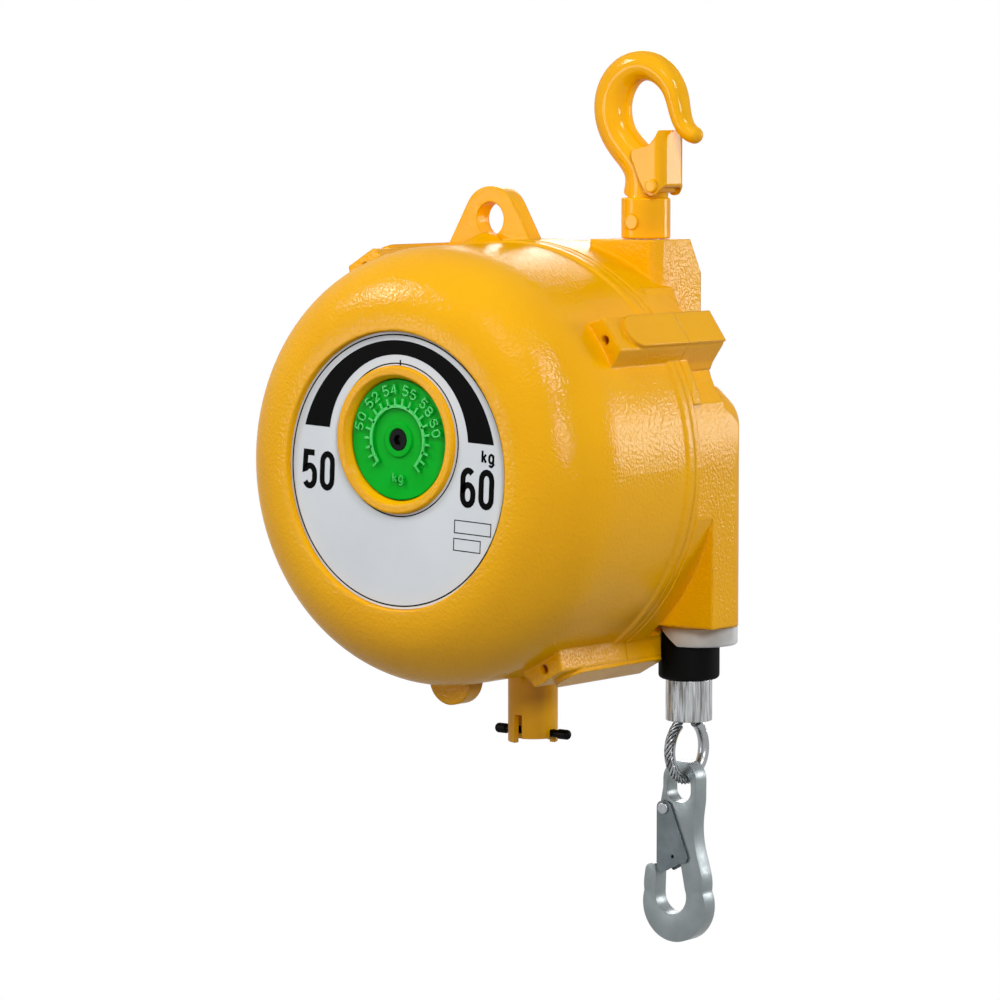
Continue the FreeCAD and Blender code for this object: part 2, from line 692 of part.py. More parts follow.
def mainspring():
    """Flat spiral strip, drawn as half circles whose centre steps from side to side."""
    y0 = spring_case_y + spring_inset
    y1 = disc_y - spring_inset
    inner = arbor_r + free_gap
    outer = spring_case_r - spring_case_wall - free_gap
    pitch = (outer - spring_t - inner) / spring_coils
    half = pitch / 4
    inside = []
    outside = []
    for i in range(2 * spring_coils):
        side = -1 if i % 2 else 1
        centre = half * side
        radius = inner + half + i * pitch / 2
        up = at(0, 0, side)
        for edges, offset in ((inside, 0.0), (outside, spring_t)):
            r = radius + offset
            middle = at(centre, y0, dial_z)
            edges.append(Part.Arc(middle + X * (-side * r), middle + up * r, middle + X * (side * r)).toShape())
    start_gap = Part.LineSegment(inside[0].valueAt(inside[0].FirstParameter), outside[0].valueAt(outside[0].FirstParameter)).toShape()
    end_gap = Part.LineSegment(inside[-1].valueAt(inside[-1].LastParameter), outside[-1].valueAt(outside[-1].LastParameter)).toShape()
    loop = Part.Wire(Part.__sortEdges__(inside + outside + [start_gap, end_gap]))
    return Part.Face(loop).extrude(Y * (y1 - y0))


def spring_case():
    """Drum-shaped aluminium case of the mainspring; the notches in its rim take the lock pin."""
    wall = spring_case_wall
    cup = turned([(spring_case_r - wall, spring_case_y), (spring_case_r, spring_case_y), (spring_case_r, disc_y + disc_t, 1.0),
                  (bearing_r, disc_y + disc_t), (bearing_r, disc_y), (spring_case_r - wall, disc_y)], 0, dial_z)
    notch = box(-8, 8, lock_y - 8, disc_y + disc_t + 1, dial_z - spring_case_r - 5, dial_z - spring_case_r + 12)
    lean = math.degrees(math.asin(-lock_x / spring_case_r))
    cuts = ring_of(notch, 8, 0, dial_z, lean)
    cuts += ring_of(rod_y(drum_screw_r, drum_screw_circle, dial_z, drum_front_y - 7, drum_front_y + 1), 6, 0, dial_z)
    return cup.cut(group(cuts))


def spring_cover():
    y0 = spring_case_y - cover_t
    return turned([(shaft_r + 3.2, y0), (spring_case_r, y0, 0.6), (spring_case_r, spring_case_y), (shaft_r + 3.2, spring_case_y)],
                  0, dial_z)


def cover_bush():
    y0 = spring_case_y - cover_t - 2
    return turned([(shaft_r + slide_gap, y0), (shaft_r + 6, y0), (shaft_r + 6, y0 + 2), (shaft_r + 3.2, y0 + 2),
                   (shaft_r + 3.2, spring_case_y + 1), (shaft_r + slide_gap, spring_case_y + 1)], 0, dial_z)


# ---- drum, bearings and wound rope ----

def groove_places():
    """Rope radius and y of each groove, from the small back end to the front."""
    return [(rope_x + i * turn_step_r, rope_y - i * turn_step_y) for i in range(turns)]


def cable_drum():
    places = groove_places()
    big_r, big_y = places[-1]
    small_r, small_y = places[0]
    body = turned([(bearing_r + 6, drum_front_y), (big_r + 4.5, drum_front_y), (big_r + 4.5, big_y - 2.5, 1.0),
                   (big_r + 1.0, big_y - 0.5), (small_r + 3.2, small_y - 3.2), (small_r - 0.5, small_y - 3.2), (small_r - 1.5, drum_back - flange_w),
                   (small_r + 4.5, drum_back - flange_w, 0.5), (small_r + 4.5, drum_back, 0.5), (small_r - 12, drum_back),
                   (small_r - 16, drum_front_y + 8), (38, drum_front_y + 8), (38, drum_back - 4), (bearing_r + 6, drum_back - 4)],
                  0, dial_z)
    hub = turned([(bearing_r, drum_back - 4 - bearing_w), (bearing_r + 8, drum_back - 4 - bearing_w),
                  (bearing_r + 8, drum_back - 4), (bearing_r, drum_back - 4)], 0, dial_z)
    body = body.fuse(hub)
    cuts = []
    for radius, y in places:
        cuts.append(Part.makeTorus(radius, rope_r + slide_gap, at(0, y, dial_z), Y))
    for screw in ring_of(rod_y(drum_screw_r + slide_gap, drum_screw_circle, dial_z, drum_front_y - 1, drum_front_y + 9), 6, 0, dial_z):
        cuts.append(screw)
    cuts.append(anchor_hole(slide_gap))
    return body.cut(group(cuts)).removeSplitter()


def anchor_hole(gap):
    """Set screw that clamps the rope's inner end in the largest groove."""
    radius, y = groove_places()[-1]
    return rod(4 + gap, at(-radius + 2.0, y - 6.5, dial_z), at(-radius + 14.0, y - 6.5, dial_z))


def rope_anchor():
    socket = hexagon(4.0, at(-groove_places()[-1][0] + 6.0, groove_places()[-1][1] - 6.5, dial_z), -6.0, X)
    return anchor_hole(0).cut(socket)


def drum_screws():
    solids = []
    shank = rod_y(drum_screw_r, drum_screw_circle, dial_z, drum_front_y - 7, drum_front_y + 8)
    head = rod_y(drum_screw_r + 2, drum_screw_circle, dial_z, drum_front_y + 8, drum_front_y + 13)
    screw = shank.fuse(head).cut(hexagon(5, at(drum_screw_circle, drum_front_y + 10, dial_z), 4, Y))
    return group(ring_of(screw, 6, 0, dial_z))


def bearing_places():
    return [disc_y + 2, drum_back - 4 - bearing_w]


def ring_profile(inner, outer, y0):
    middle = y0 + bearing_w / 2
    solid = turned([(inner, y0, 0.5), (outer, y0, 0.5), (outer, y0 + bearing_w, 0.5), (inner, y0 + bearing_w, 0.5)], 0, dial_z)
    return solid.cut(Part.makeTorus((shaft_r + bearing_r) / 2, ball_r + slide_gap, at(0, middle, dial_z), Y))


def bearing_inner_rings():
    return group([ring_profile(shaft_r, shaft_r + race_t, y0) for y0 in bearing_places()])


def bearing_outer_rings():
    return group([ring_profile(bearing_r - race_t, bearing_r, y0) for y0 in bearing_places()])


def bearing_balls():
    solids = []
    for y0 in bearing_places():
        ball = Part.makeSphere(ball_r, at((shaft_r + bearing_r) / 2, y0 + bearing_w / 2, dial_z))
        solids += ring_of(ball, ball_count, 0, dial_z)
    return group(solids)


def wound_rope():
    """Turns of rope in the drum's grooves; the last turn ends where the straight run begins."""
    solids = []
    for i, (radius, y) in enumerate(groove_places()):
        if i == 0:
            section = Part.makeCircle(rope_r, at(radius, y, dial_z), Z)
            face = Part.Face(Part.Wire([section]))
            solids.append(face.revolve(at(0, 0, dial_z), Y, -330))
        else:
            solids.append(Part.makeTorus(radius, rope_r, at(0, y, dial_z), Y))
    return group(solids)


# ---- rope guide and rope end ----

def cable_guide():
    bottom = column_bottom - guide_drop
    flange = turned_z([(0, bottom), (column_r - 0.3, bottom, 2.0), (column_r - 0.3, column_bottom), (0, column_bottom)],
                      column_x, column_y)
    spigot = rod_z(guide_spigot_r - slide_gap, guide_bore_x, guide_bore_y, column_bottom, column_bottom + guide_spigot_h)
    last_r, last_y = groove_places()[-1]
    top = column_bottom + guide_spigot_h + 1
    far_x = last_r - 6.0
    far_y = last_y + 7.0
    slot = [rod_z(guide_slot_r, rope_x, rope_y, bottom, top), rod_z(guide_slot_r, far_x, far_y, bottom, top)]
    lane = box(0, math.hypot(far_x - rope_x, far_y - rope_y), -guide_slot_r, guide_slot_r, bottom, top)
    lane = lane.rotated(at(0, 0, 0), Z, math.degrees(math.atan2(far_y - rope_y, far_x - rope_x)))
    lane.translate(at(rope_x, rope_y, 0))
    recess = rod_z(stopper_r + free_gap, rope_x, rope_y, bottom - 1, bottom + stopper_recess)
    bevel = plate_xz([(column_x - 34, bottom - 1), (column_x - 11, bottom - 1), (column_x - 25.5, column_bottom - 0.6),
                      (column_x - 34, column_bottom - 0.6)], column_y - 40, 80).rotated(at(column_x, column_y, 0), Z, 30)
    guide = flange.fuse(spigot).cut(group([recess, bevel] + slot + [lane]))
    return guide.removeSplitter()


def stopper_top():
    return column_bottom - guide_drop + stopper_recess - free_gap


def rope_stopper():
    return turned_z([(rope_r + slide_gap, stopper_bottom), (stopper_r, stopper_bottom, 3.0), (stopper_r, stopper_top(), 2.0),
                     (rope_r + slide_gap, stopper_top())], rope_x, rope_y)


def ferrule_bottom():
    return stopper_bottom - ferrule_len


def ferrule():
    body = turned_z([(0, ferrule_bottom()), (ferrule_r, ferrule_bottom(), 0.8), (ferrule_r, stopper_bottom, 0.8),
                     (0, stopper_bottom)], rope_x, rope_y)
    bore = rod_z(rope_r, rope_x, rope_y, stopper_bottom - rope_grip, stopper_bottom + 1)
    return body.cut(group([bore, rope_eye()]))


def rope_run():
    """The straight rope from the drum to the ferrule; it lengthens as the hook is pulled down."""
    return rod_z(rope_r, rope_x, rope_y, stopper_bottom - rope_grip, dial_z)


def loop_centre_z():
    return ferrule_bottom() - loop_drop


def loop_lean():
    """Angle above the level at which the loop's straight legs leave its round part."""
    span = math.hypot(loop_leg, loop_drop)
    return math.atan2(loop_drop, loop_leg) - math.acos(loop_r / span)


def loop_edges(x):
    """Centreline of the loop: a leg, the round part and the other leg, in a plane across the hook."""
    lean = loop_lean()
    centre_z = loop_centre_z()
    left = at(x, loop_y - loop_r * math.cos(lean), centre_z + loop_r * math.sin(lean))
    right = at(x, loop_y + loop_r * math.cos(lean), centre_z + loop_r * math.sin(lean))
    low = at(x, loop_y, centre_z - loop_r)
    mouth = ferrule_bottom()
    first = Part.LineSegment(at(x, loop_y - loop_leg, mouth), left).toShape()
    round_part = Part.Arc(left, low, right).toShape()
    last = Part.LineSegment(right, at(x, loop_y + loop_leg, mouth)).toShape()
    return [first, round_part, last]


def along_loop(section, extra):
    """A section carried down one leg, round the bottom and up the other leg.

    The section lies across the first leg; extra is its distance before the leg's start."""
    first, round_part, last = loop_edges(rope_x)
    down = first.valueAt(first.LastParameter) - first.valueAt(first.FirstParameter)
    down = down * ((down.Length + extra) / down.Length)
    centre = at(rope_x, loop_y, loop_centre_z())
    sweep = 180 + 2 * math.degrees(loop_lean())
    leg = section.copy().extrude(down)
    at_knee = section.copy()
    at_knee.translate(down)
    bend = at_knee.revolve(centre, X, sweep)
    far = at_knee.rotated(centre, X, sweep)
    up = last.valueAt(last.LastParameter) - last.valueAt(last.FirstParameter)
    back = far.extrude(up.normalize() * down.Length)
    return leg.multiFuse([bend, back]).removeSplitter()


def rope_eye():
    """Loop of rope; both legs run a little way up into the ferrule."""
    first, round_part, last = loop_edges(rope_x)
    start = first.valueAt(first.FirstParameter)
    direction = (first.valueAt(first.LastParameter) - start).normalize()
    section = Part.Face(Part.Wire([Part.makeCircle(rope_r, start - direction * leg_grip, direction)]))
    return along_loop(section, leg_grip)


def thimble():
    """Half-round metal channel that lines the inside of the loop."""
    first, round_part, last = loop_edges(rope_x)
    start = first.valueAt(first.FirstParameter)
    knee = first.valueAt(first.LastParameter)
    direction = (knee - start).normalize()
    begin = start + direction * thimble_gap
    inward = direction.cross(X)
    centre = at(rope_x, loop_y, loop_centre_z())
    if (centre - knee).dot(inward) < 0:
        inward = inward * -1
    inner = rope_r
    outer = inner + thimble_t
    spread = math.radians(80)

    def around(radius, angle):
        return begin + inward * (radius * math.cos(angle)) + X * (radius * math.sin(angle))

    edges = [Part.Arc(around(inner, -spread), around(inner, 0), around(inner, spread)).toShape(),
             Part.LineSegment(around(inner, spread), around(outer, spread)).toShape(),
             Part.Arc(around(outer, spread), around(outer, 0), around(outer, -spread)).toShape(),
             Part.LineSegment(around(outer, -spread), around(inner, -spread)).toShape()]
    return along_loop(Part.Face(Part.Wire(edges)), -thimble_gap)


# ---- lower hook ----

def loop_saddle():
    """Space that the rope loop's round bottom takes as the hook swings on it."""
    low = loop_centre_z() - loop_r
    reach = loop_r - rope_r - thimble_t - slide_gap
    side = 9.0

    def radius_at(y):
        return loop_r - math.sqrt(reach * reach - y * y)

    edge = [at(rope_x + radius_at(y), loop_y + y, low) for y in (-side, 0, side)]
    ends = [at(rope_x, loop_y + side, low), at(rope_x, loop_y - side, low)]
    outline = [Part.Arc(edge[0], edge[1], edge[2]).toShape(), Part.LineSegment(edge[2], ends[0]).toShape(),
               Part.LineSegment(ends[0], ends[1]).toShape(), Part.LineSegment(ends[1], edge[0]).toShape()]
    return Part.Face(Part.Wire(outline)).revolve(ends[0], Y, 360)


def lower_hook():
    top = hook_eye_z + eye_h / 2 + 8.2
    side_x = rope_x - 1.9
    body = plate_xz([(side_x - 13.4, hook_eye_z, 9), (side_x - 13.2, top, 12), (side_x + 12.8, top, 12),
                     (side_x + 12.6, hook_eye_z - 8, 30), (side_x + 9.6, pivot_z - 16, 60),
                     (hook_round_x + hook_round_r + 1.2, hook_round_z + 8, 30), (hook_round_x + 8, hook_round_z - 15, 8),
                     (jaw_x + jaw_r - 2.5, jaw_z + 2, 3), (side_x + 0.5, jaw_z + 22, 20),
                     (side_x - 4.5, pivot_z - 13, 16), (side_x - 16.8, pivot_z - 3.4, 4.0)],
                    hook_plate_y - plate_w / 2, plate_w)
    bowl = rod_y(hook_round_r, hook_round_x, hook_round_z, hook_plate_y - plate_w / 2, hook_plate_y + plate_w / 2)
    point = plate_xz([(hook_round_x - hook_round_r + 0.1, jaw_z + 4, 30), (hook_round_x - hook_round_r + 2.6, jaw_z + 20.5, 5),
                      (jaw_x - jaw_r - 0.2, jaw_z + 19.5, 2), (jaw_x - jaw_r + 1.5, jaw_z - 3), (hook_round_x - hook_round_r + 6, jaw_z - 16)],
                     hook_plate_y - plate_w / 2, plate_w)
    whole = fuse(body, [bowl, point])
    throat = rod_y(jaw_r, jaw_x, jaw_z, hook_plate_y - plate_w, hook_plate_y + plate_w)
    mouth = plate_xz([(jaw_x - jaw_r, jaw_z), (jaw_x - jaw_r + 0.6, jaw_z + 19.5), (jaw_x - jaw_r + 0.6, jaw_z + 30),
                      (side_x - 2.0, jaw_z + 40, 4), (side_x + 1.0, jaw_z + 20, 20), (jaw_x + jaw_r, jaw_z)],
                     hook_plate_y - plate_w, 2 * plate_w)
    eye = plate_xz([(side_x - 1.0 - eye_w / 2, hook_eye_z - eye_h / 2, 8), (side_x - 1.0 - eye_w / 2, hook_eye_z + eye_h / 2, 8),
                    (side_x - 1.0 + eye_w / 2, hook_eye_z + eye_h / 2, 8), (side_x - 1.0 + eye_w / 2, hook_eye_z - eye_h / 2, 8)],
                   hook_plate_y - plate_w, 2 * plate_w)
    hole = rod_y(pivot_r, pivot_x, pivot_z, hook_plate_y - plate_w, hook_plate_y + plate_w)
    return whole.cut(group([throat, mouth, eye, hole, loop_saddle()])).removeSplitter()


def lower_latch():
    """Sheet-metal latch: two cheeks on either side of the hook, joined by a spine at the mouth."""
    outline = [(pivot_x - 5.2, pivot_z + 4.7, 4.5), (pivot_x + 4.6, pivot_z + 4.7, 4.5), (pivot_x + 19.3, pivot_z - 31, 1),
               (pivot_x + 18.0, pivot_z - 34.5, 1), (pivot_x + 11.0, pivot_z - 36, 1), (pivot_x + 3.4, pivot_z - 40.5, 2),
               (pivot_x - 1.6, pivot_z - 43.2, 1), (pivot_x - 5.2, pivot_z - 40, 2)]
    half = plate_w / 2 + free_gap
    cheeks = [plate_xz(outline, hook_plate_y - half - hook_sheet, hook_sheet), plate_xz(outline, hook_plate_y + half, hook_sheet)]
    spine = box(pivot_x - 5.2, pivot_x - 5.2 + hook_sheet, hook_plate_y - half - 0.5, hook_plate_y + half + 0.5, pivot_z - 37.4, pivot_z - 9)
    latch = fuse(cheeks[0], [cheeks[1], spine])
    cuts = [rod_y(pivot_r, pivot_x, pivot_z, hook_plate_y - 20, hook_plate_y + 20),
            rod_y(1.3, pivot_x + 7.3, pivot_z - 31.2, hook_plate_y - 20, hook_plate_y)]
    return latch.cut(group(cuts))


def rivet_y(radius, head_r, head_h, x, z, y0, y1):
    """A rivet along Y with a domed head at each end."""
    shank = rod_y(radius, x, z, y0, y1)
    heads = [turned([(0, y0 - head_h), (head_r, y0 - head_h, head_h * 0.7), (head_r, y0), (0, y0)], x, z),
             turned([(0, y1), (head_r, y1), (head_r, y1 + head_h, head_h * 0.7), (0, y1 + head_h)], x, z)]
    return fuse(shank, heads)


def lower_latch_rivet():
    half = plate_w / 2 + free_gap + hook_sheet
    return rivet_y(pivot_r - slide_gap, 4.0, 1.6, pivot_x, pivot_z, hook_plate_y - half, hook_plate_y + half)


# ---- top hook ----

def hook_at(x, y, z):
    """A point measured from the top hook's saddle."""
    return at(hook_x + x, hook_y + y, saddle_z + z)


def top_hook():
    points = [hook_at(x, 0, z) for x, z, a, b in bow]
    curve = Part.BSplineCurve()
    curve.interpolate(points)
    sections = []
    for point, (x, z, half_width, half_depth) in zip(points, bow):
        tangent = FreeCAD.Vector(*curve.tangent(curve.parameter(point))[0])
        ellipse = Part.Ellipse()
        if half_width >= half_depth:
            ellipse.MajorRadius = half_width
            ellipse.MinorRadius = half_depth
            turn = 0
        else:
            ellipse.MajorRadius = half_depth
            ellipse.MinorRadius = half_width
            turn = 90
        wire = Part.Wire([ellipse.toShape()])
        wire.rotate(at(0, 0, 0), Z, turn)
        lean = math.degrees(math.atan2(tangent.x, tangent.z))
        wire.rotate(at(0, 0, 0), Y, lean)
        wire.translate(point)
        sections.append(wire)
    hook = Part.makeLoft(sections, True, False)
    tip = Part.makeSphere(bow[-1][2], points[-1])
    pivot_top = saddle_z + latch_z
    lug = plate_xz([(hook_x - 2, pivot_top - 5, 2), (hook_x + latch_x + 4, pivot_top - 4.5, 4),
                    (hook_x + latch_x + 4.5, pivot_top + 5, 4), (hook_x + 6, pivot_top + 14, 2), (hook_x - 2, pivot_top + 14)],
                   hook_y - latch_inside + 1.0, 2 * (latch_inside - 1.0))
    lug_end = hook_x + latch_x + 4.5
    plan = Part.Face(rounded([(hook_x - 5, hook_y - latch_inside), (lug_end, hook_y - latch_inside, 8.0),
                              (lug_end, hook_y + latch_inside, 8.0), (hook_x - 5, hook_y + latch_inside)]))
    plan.translate(at(0, 0, pivot_top - 10))
    lug = lug.common(plan.extrude(Z * 30))
    collar_top = block_top + 0.4 + collar_h
    spigot = rod_z(collar_r - 4, hook_x, hook_y, collar_top - 9, collar_top + 1)
    shank = hook.common(box(hook_x - 80, hook_x + 80, hook_y - 30, hook_y + 30, collar_top, saddle_z + 60))
    whole = fuse(shank, [tip, lug, spigot])
    return whole.cut(rod_y(latch_hole_r, hook_x + latch_x, saddle_z + latch_z, hook_y - 20, hook_y + 20)).removeSplitter()


def top_latch():
    """Folded sheet latch: front and back cheeks joined by a spine that closes the hook's mouth."""
    x = hook_x + latch_x
    z = saddle_z + latch_z
    half = latch_inside + latch_sheet
    outline = [(x - 17.0, z + 23.0, 2), (x - 16.0, z + 17.0, 4), (x - 9.5, z + 2.5, 6), (x - 5.5, z - 3.9, 4), (x - 1.5, z - 6.4, 3),
               (x + 2.5, z - 5.8, 3), (x + 8.0, z + 0.6, 2), (x + 8.0, z + 35.8), (x + 4.5, z + 35.8, 2), (x + 2.6, z + 31.4, 10),
               (x - 3.2, z + 25.6, 10)]
    side = plate_xz(outline, hook_y - half, 2 * half)
    back = x + 8.0
    outer = Part.Face(rounded([(x - 40, hook_y - half), (back, hook_y - half, 6.0), (back, hook_y + half, 6.0),
                               (x - 40, hook_y + half)]))
    inner = Part.Face(rounded([(x - 41, hook_y - latch_inside), (back - latch_sheet, hook_y - latch_inside, 6.0 - latch_sheet),
                               (back - latch_sheet, hook_y + latch_inside, 6.0 - latch_sheet), (x - 41, hook_y + latch_inside)]))
    channel = outer.cut(inner)
    channel.translate(at(0, 0, z - 30))
    latch = side.common(channel.extrude(Z * 90))
    return latch.cut(rod_y(latch_hole_r, x, z, hook_y - 30, hook_y + 30))


def top_latch_rivet():
    half = latch_inside + latch_sheet
    return rivet_y(latch_hole_r - slide_gap, 4.6, 2.0, hook_x + latch_x, saddle_z + latch_z, hook_y - half, hook_y + half)


def swivel_collar():
    bottom = block_top + 0.4
    top = bottom + collar_h
    collar = turned_z([(0, bottom), (collar_r, bottom, 1.0), (collar_r, top, 1.2), (0, top)], hook_x, hook_y)
    cuts = [rod_z(stud_r, hook_x, hook_y, bottom - 1, top - 9.5), rod_z(collar_r - 4, hook_x, hook_y, top - 9.5, top + 1),
            rod_y(4.0, hook_x, collar_pin_z(), hook_y - 30, hook_y + 30),
            rod_y(5.2, hook_x, collar_pin_z(), hook_y - 30, hook_y - collar_r + 0.6),
            rod_y(5.2, hook_x, collar_pin_z(), hook_y + collar_r - 0.6, hook_y + 30)]
    return collar.cut(group(cuts))


def collar_pin_z():
    return block_top + 0.4 + 10.7


def collar_pin():
    return rivet_y(4.0, 5.2, 1.4, hook_x, collar_pin_z(), hook_y - collar_r + 0.6, hook_y + collar_r - 0.6)


def keeper_xs():
    return [hook_x - stud_r, hook_x + stud_r]


def swivel_stud():
    """Upright stud in the block; two keeper pins run in its groove, so it turns but can't lift."""
    top = block_top + 0.4 + collar_h - 9.5
    bottom = block_top - stud_depth + free_gap
    groove = keeper_r + free_gap
    stud = turned_z([(0, bottom), (stud_r, bottom, 1.0), (stud_r, keeper_z - groove), (stud_r - groove, keeper_z - groove),
                     (stud_r - groove, keeper_z + groove), (stud_r, keeper_z + groove), (stud_r, top), (0, top)],
                    hook_x, hook_y)
    return stud.cut(rod_y(4.0, hook_x, collar_pin_z(), hook_y - 30, hook_y + 30))


def keeper_pins():
    return group([rod_y(keeper_r, x, keeper_z, hook_y - keeper_half, block_back_y - 9) for x in keeper_xs()])


# ---- drum lock ----

def lock_sleeve():
    """Slotted tube: the lock handle rests in its short notches and drops into its long slots."""
    web_top = lock_slot_top + 5
    tube = turned_z([(0, lock_bottom), (lock_r, lock_bottom, 0.6), (lock_r, -131.0), (0, -131.0)], lock_x, lock_y)
    cuts = [rod_z(lock_bore, lock_x, lock_y, web_top, -130), rod_z(lock_bore, lock_x, lock_y, lock_bottom - 1, lock_slot_top),
            rod_z(lock_pin_r + free_gap, lock_x, lock_y, lock_bottom, -130),
            box(lock_x - lock_slot / 2, lock_x + lock_slot / 2, lock_y - 20, lock_y + 20, lock_bottom - 1, lock_slot_top),
            box(lock_x - 20, lock_x + 20, lock_y - lock_slot / 2, lock_y + lock_slot / 2, lock_bottom - 1, handle_z + handle_r + 0.1),
            box(lock_x, lock_x + 20, lock_y - 20, lock_y, lock_bottom - 1, lock_bottom + lock_short)]
    return tube.cut(group(cuts)).removeSplitter()


def lock_plunger():
    pin = turned_z([(0, handle_z - 4.5), (lock_pin_r, handle_z - 4.5, 0.8), (lock_pin_r, lock_shoulder_z), (lock_bore - free_gap, lock_shoulder_z),
                    (lock_bore - free_gap, lock_shoulder_z + 4), (lock_pin_r, lock_shoulder_z + 4), (lock_pin_r, lock_tip, 1.5), (0, lock_tip)],
                   lock_x, lock_y)
    return pin.cut(rod(handle_r, at(lock_x - 20, lock_y, handle_z), at(lock_x + 20, lock_y, handle_z)))


def lock_handle():
    return rod(handle_r, at(lock_x - handle_half, lock_y, handle_z), at(lock_x + handle_half, lock_y, handle_z))


def lock_knobs():
    solids = []
    for side in (-1, 1):
        knob = turned_z([(0, -5.0), (knob_r, -5.0, 1.2), (knob_r, knob_len - 5.0, 2.6), (0, knob_len - 5.0)], 0, 0)
        knob = knob.cut(rod_z(handle_r, 0, 0, -6.0, 0.0))
        knob = knob.rotated(at(0, 0, 0), Y, 90 * side)
        knob.translate(at(lock_x + side * handle_half, lock_y, handle_z))
        solids.append(knob)
    return group(solids)


def lock_spring():
    """Coil spring under the plunger's shoulder, drawn as a stack of rings joined by a thin sleeve."""
    low = lock_slot_top + 5
    wire = 1.1
    coils = 5
    middle_r = lock_bore - wire - 1.2
    step = (lock_shoulder_z - low - 2 * wire) / (coils - 1)
    rings = [Part.makeTorus(middle_r, wire, at(lock_x, lock_y, low + wire + i * step), Z) for i in range(coils)]
    bar = turned_z([(middle_r - 0.4, low + wire), (middle_r + 0.4, low + wire), (middle_r + 0.4, lock_shoulder_z - wire),
                    (middle_r - 0.4, lock_shoulder_z - wire)], lock_x, lock_y)
    return bar.multiFuse(rings)


nodes = [("front_case", front_case), ("rear_housing", rear_housing), ("case_bolts", case_bolts), ("rear_cap", rear_cap),
         ("rear_cap_screws", rear_cap_screws), ("scale_plate", scale_plate), ("load_dial", load_dial),
         ("dial_screw", dial_screw), ("main_shaft", main_shaft), ("wheel_key", wheel_key), ("shaft_bushes", shaft_bushes),
         ("worm_wheel", worm_wheel), ("worm_shaft", worm_shaft), ("spring_arbor", spring_arbor), ("mainspring", mainspring),
         ("spring_case", spring_case), ("spring_cover", spring_cover), ("cover_bush", cover_bush),
         ("cable_drum", cable_drum), ("rope_anchor", rope_anchor), ("drum_screws", drum_screws), ("bearing_inner_rings", bearing_inner_rings),
         ("bearing_outer_rings", bearing_outer_rings), ("bearing_balls", bearing_balls), ("wound_rope", wound_rope),
         ("cable_guide", cable_guide), ("rope_stopper", rope_stopper), ("ferrule", ferrule), ("rope_run", rope_run),
         ("rope_eye", rope_eye), ("thimble", thimble), ("lower_hook", lower_hook), ("lower_latch", lower_latch),
         ("lower_latch_rivet", lower_latch_rivet), ("top_hook", top_hook), ("top_latch", top_latch),
         ("top_latch_rivet", top_latch_rivet), ("swivel_collar", swivel_collar), ("collar_pin", collar_pin),
         ("swivel_stud", swivel_stud), ("keeper_pins", keeper_pins), ("lock_sleeve", lock_sleeve),
         ("lock_plunger", lock_plunger), ("lock_handle", lock_handle), ("lock_knobs", lock_knobs),
         ("lock_spring", lock_spring)]

for name, make in nodes:
    export(name, make())
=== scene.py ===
# %% [markdown]
# # A spring tool balancer
# The balancer hangs from its top hook and carries a tool on a wire rope. Its solids come from the
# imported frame, so every piece here starts from those solids: they get their finishes, and the
# details that a solid can't carry, such as print, embossed figures and rope strands, are added.

# %% Load the frame
import math

import bmesh
import bpy
from mathutils import Matrix, Vector


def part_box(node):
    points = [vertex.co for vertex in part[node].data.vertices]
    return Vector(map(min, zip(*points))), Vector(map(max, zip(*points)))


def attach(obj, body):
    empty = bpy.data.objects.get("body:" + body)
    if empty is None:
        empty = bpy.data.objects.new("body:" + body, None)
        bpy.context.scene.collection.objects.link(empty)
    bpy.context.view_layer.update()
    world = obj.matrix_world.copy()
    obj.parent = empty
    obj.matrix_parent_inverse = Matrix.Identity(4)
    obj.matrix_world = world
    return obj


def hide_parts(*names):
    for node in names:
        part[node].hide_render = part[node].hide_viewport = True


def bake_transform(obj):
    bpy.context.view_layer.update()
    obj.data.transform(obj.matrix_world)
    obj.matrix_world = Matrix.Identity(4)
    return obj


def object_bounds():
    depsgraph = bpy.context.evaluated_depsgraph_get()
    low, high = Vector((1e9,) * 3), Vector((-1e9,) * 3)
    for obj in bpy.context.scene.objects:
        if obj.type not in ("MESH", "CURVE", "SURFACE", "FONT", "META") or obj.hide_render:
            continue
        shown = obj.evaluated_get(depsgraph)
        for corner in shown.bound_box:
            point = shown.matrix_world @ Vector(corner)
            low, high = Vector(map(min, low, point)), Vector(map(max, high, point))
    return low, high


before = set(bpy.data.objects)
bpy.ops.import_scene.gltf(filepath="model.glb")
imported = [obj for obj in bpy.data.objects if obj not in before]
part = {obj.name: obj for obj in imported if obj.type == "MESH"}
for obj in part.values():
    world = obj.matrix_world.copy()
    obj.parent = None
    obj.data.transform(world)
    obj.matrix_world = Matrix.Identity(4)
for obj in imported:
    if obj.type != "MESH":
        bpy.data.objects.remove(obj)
cad_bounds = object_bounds()

# %% [markdown]
# ## Units and colours
# The frame is in metres, while a maker thinks of this part in millimetres, so one constant turns
# one into the other. A paint colour is read off a chart as display values, and the renderer wants
# linear light, so a small helper does that step in one place.

# %% Millimetres and colours
MM = 0.001


def linear(value):
    """The standard display curve, turned back into linear light."""
    return value / 12.92 if value <= 0.04045 else ((value + 0.055) / 1.055) ** 2.4


def chart(red, green, blue):
    """A colour given as 0 to 255 display values."""
    return tuple(linear(c / 255) for c in (red, green, blue)) + (1.0,)


print("half of the display range is", round(linear(0.5), 3), "in linear light")

# %% [markdown]
# ## Camera and room
# The balancer is looked at from its right front and slightly from above, through a long lens, so
# that its upright edges stay parallel. The room is a pale floor under an even white sky. The sky
# is white for the camera and in reflections, and dimmer as a lamp, so that the paint keeps depth.

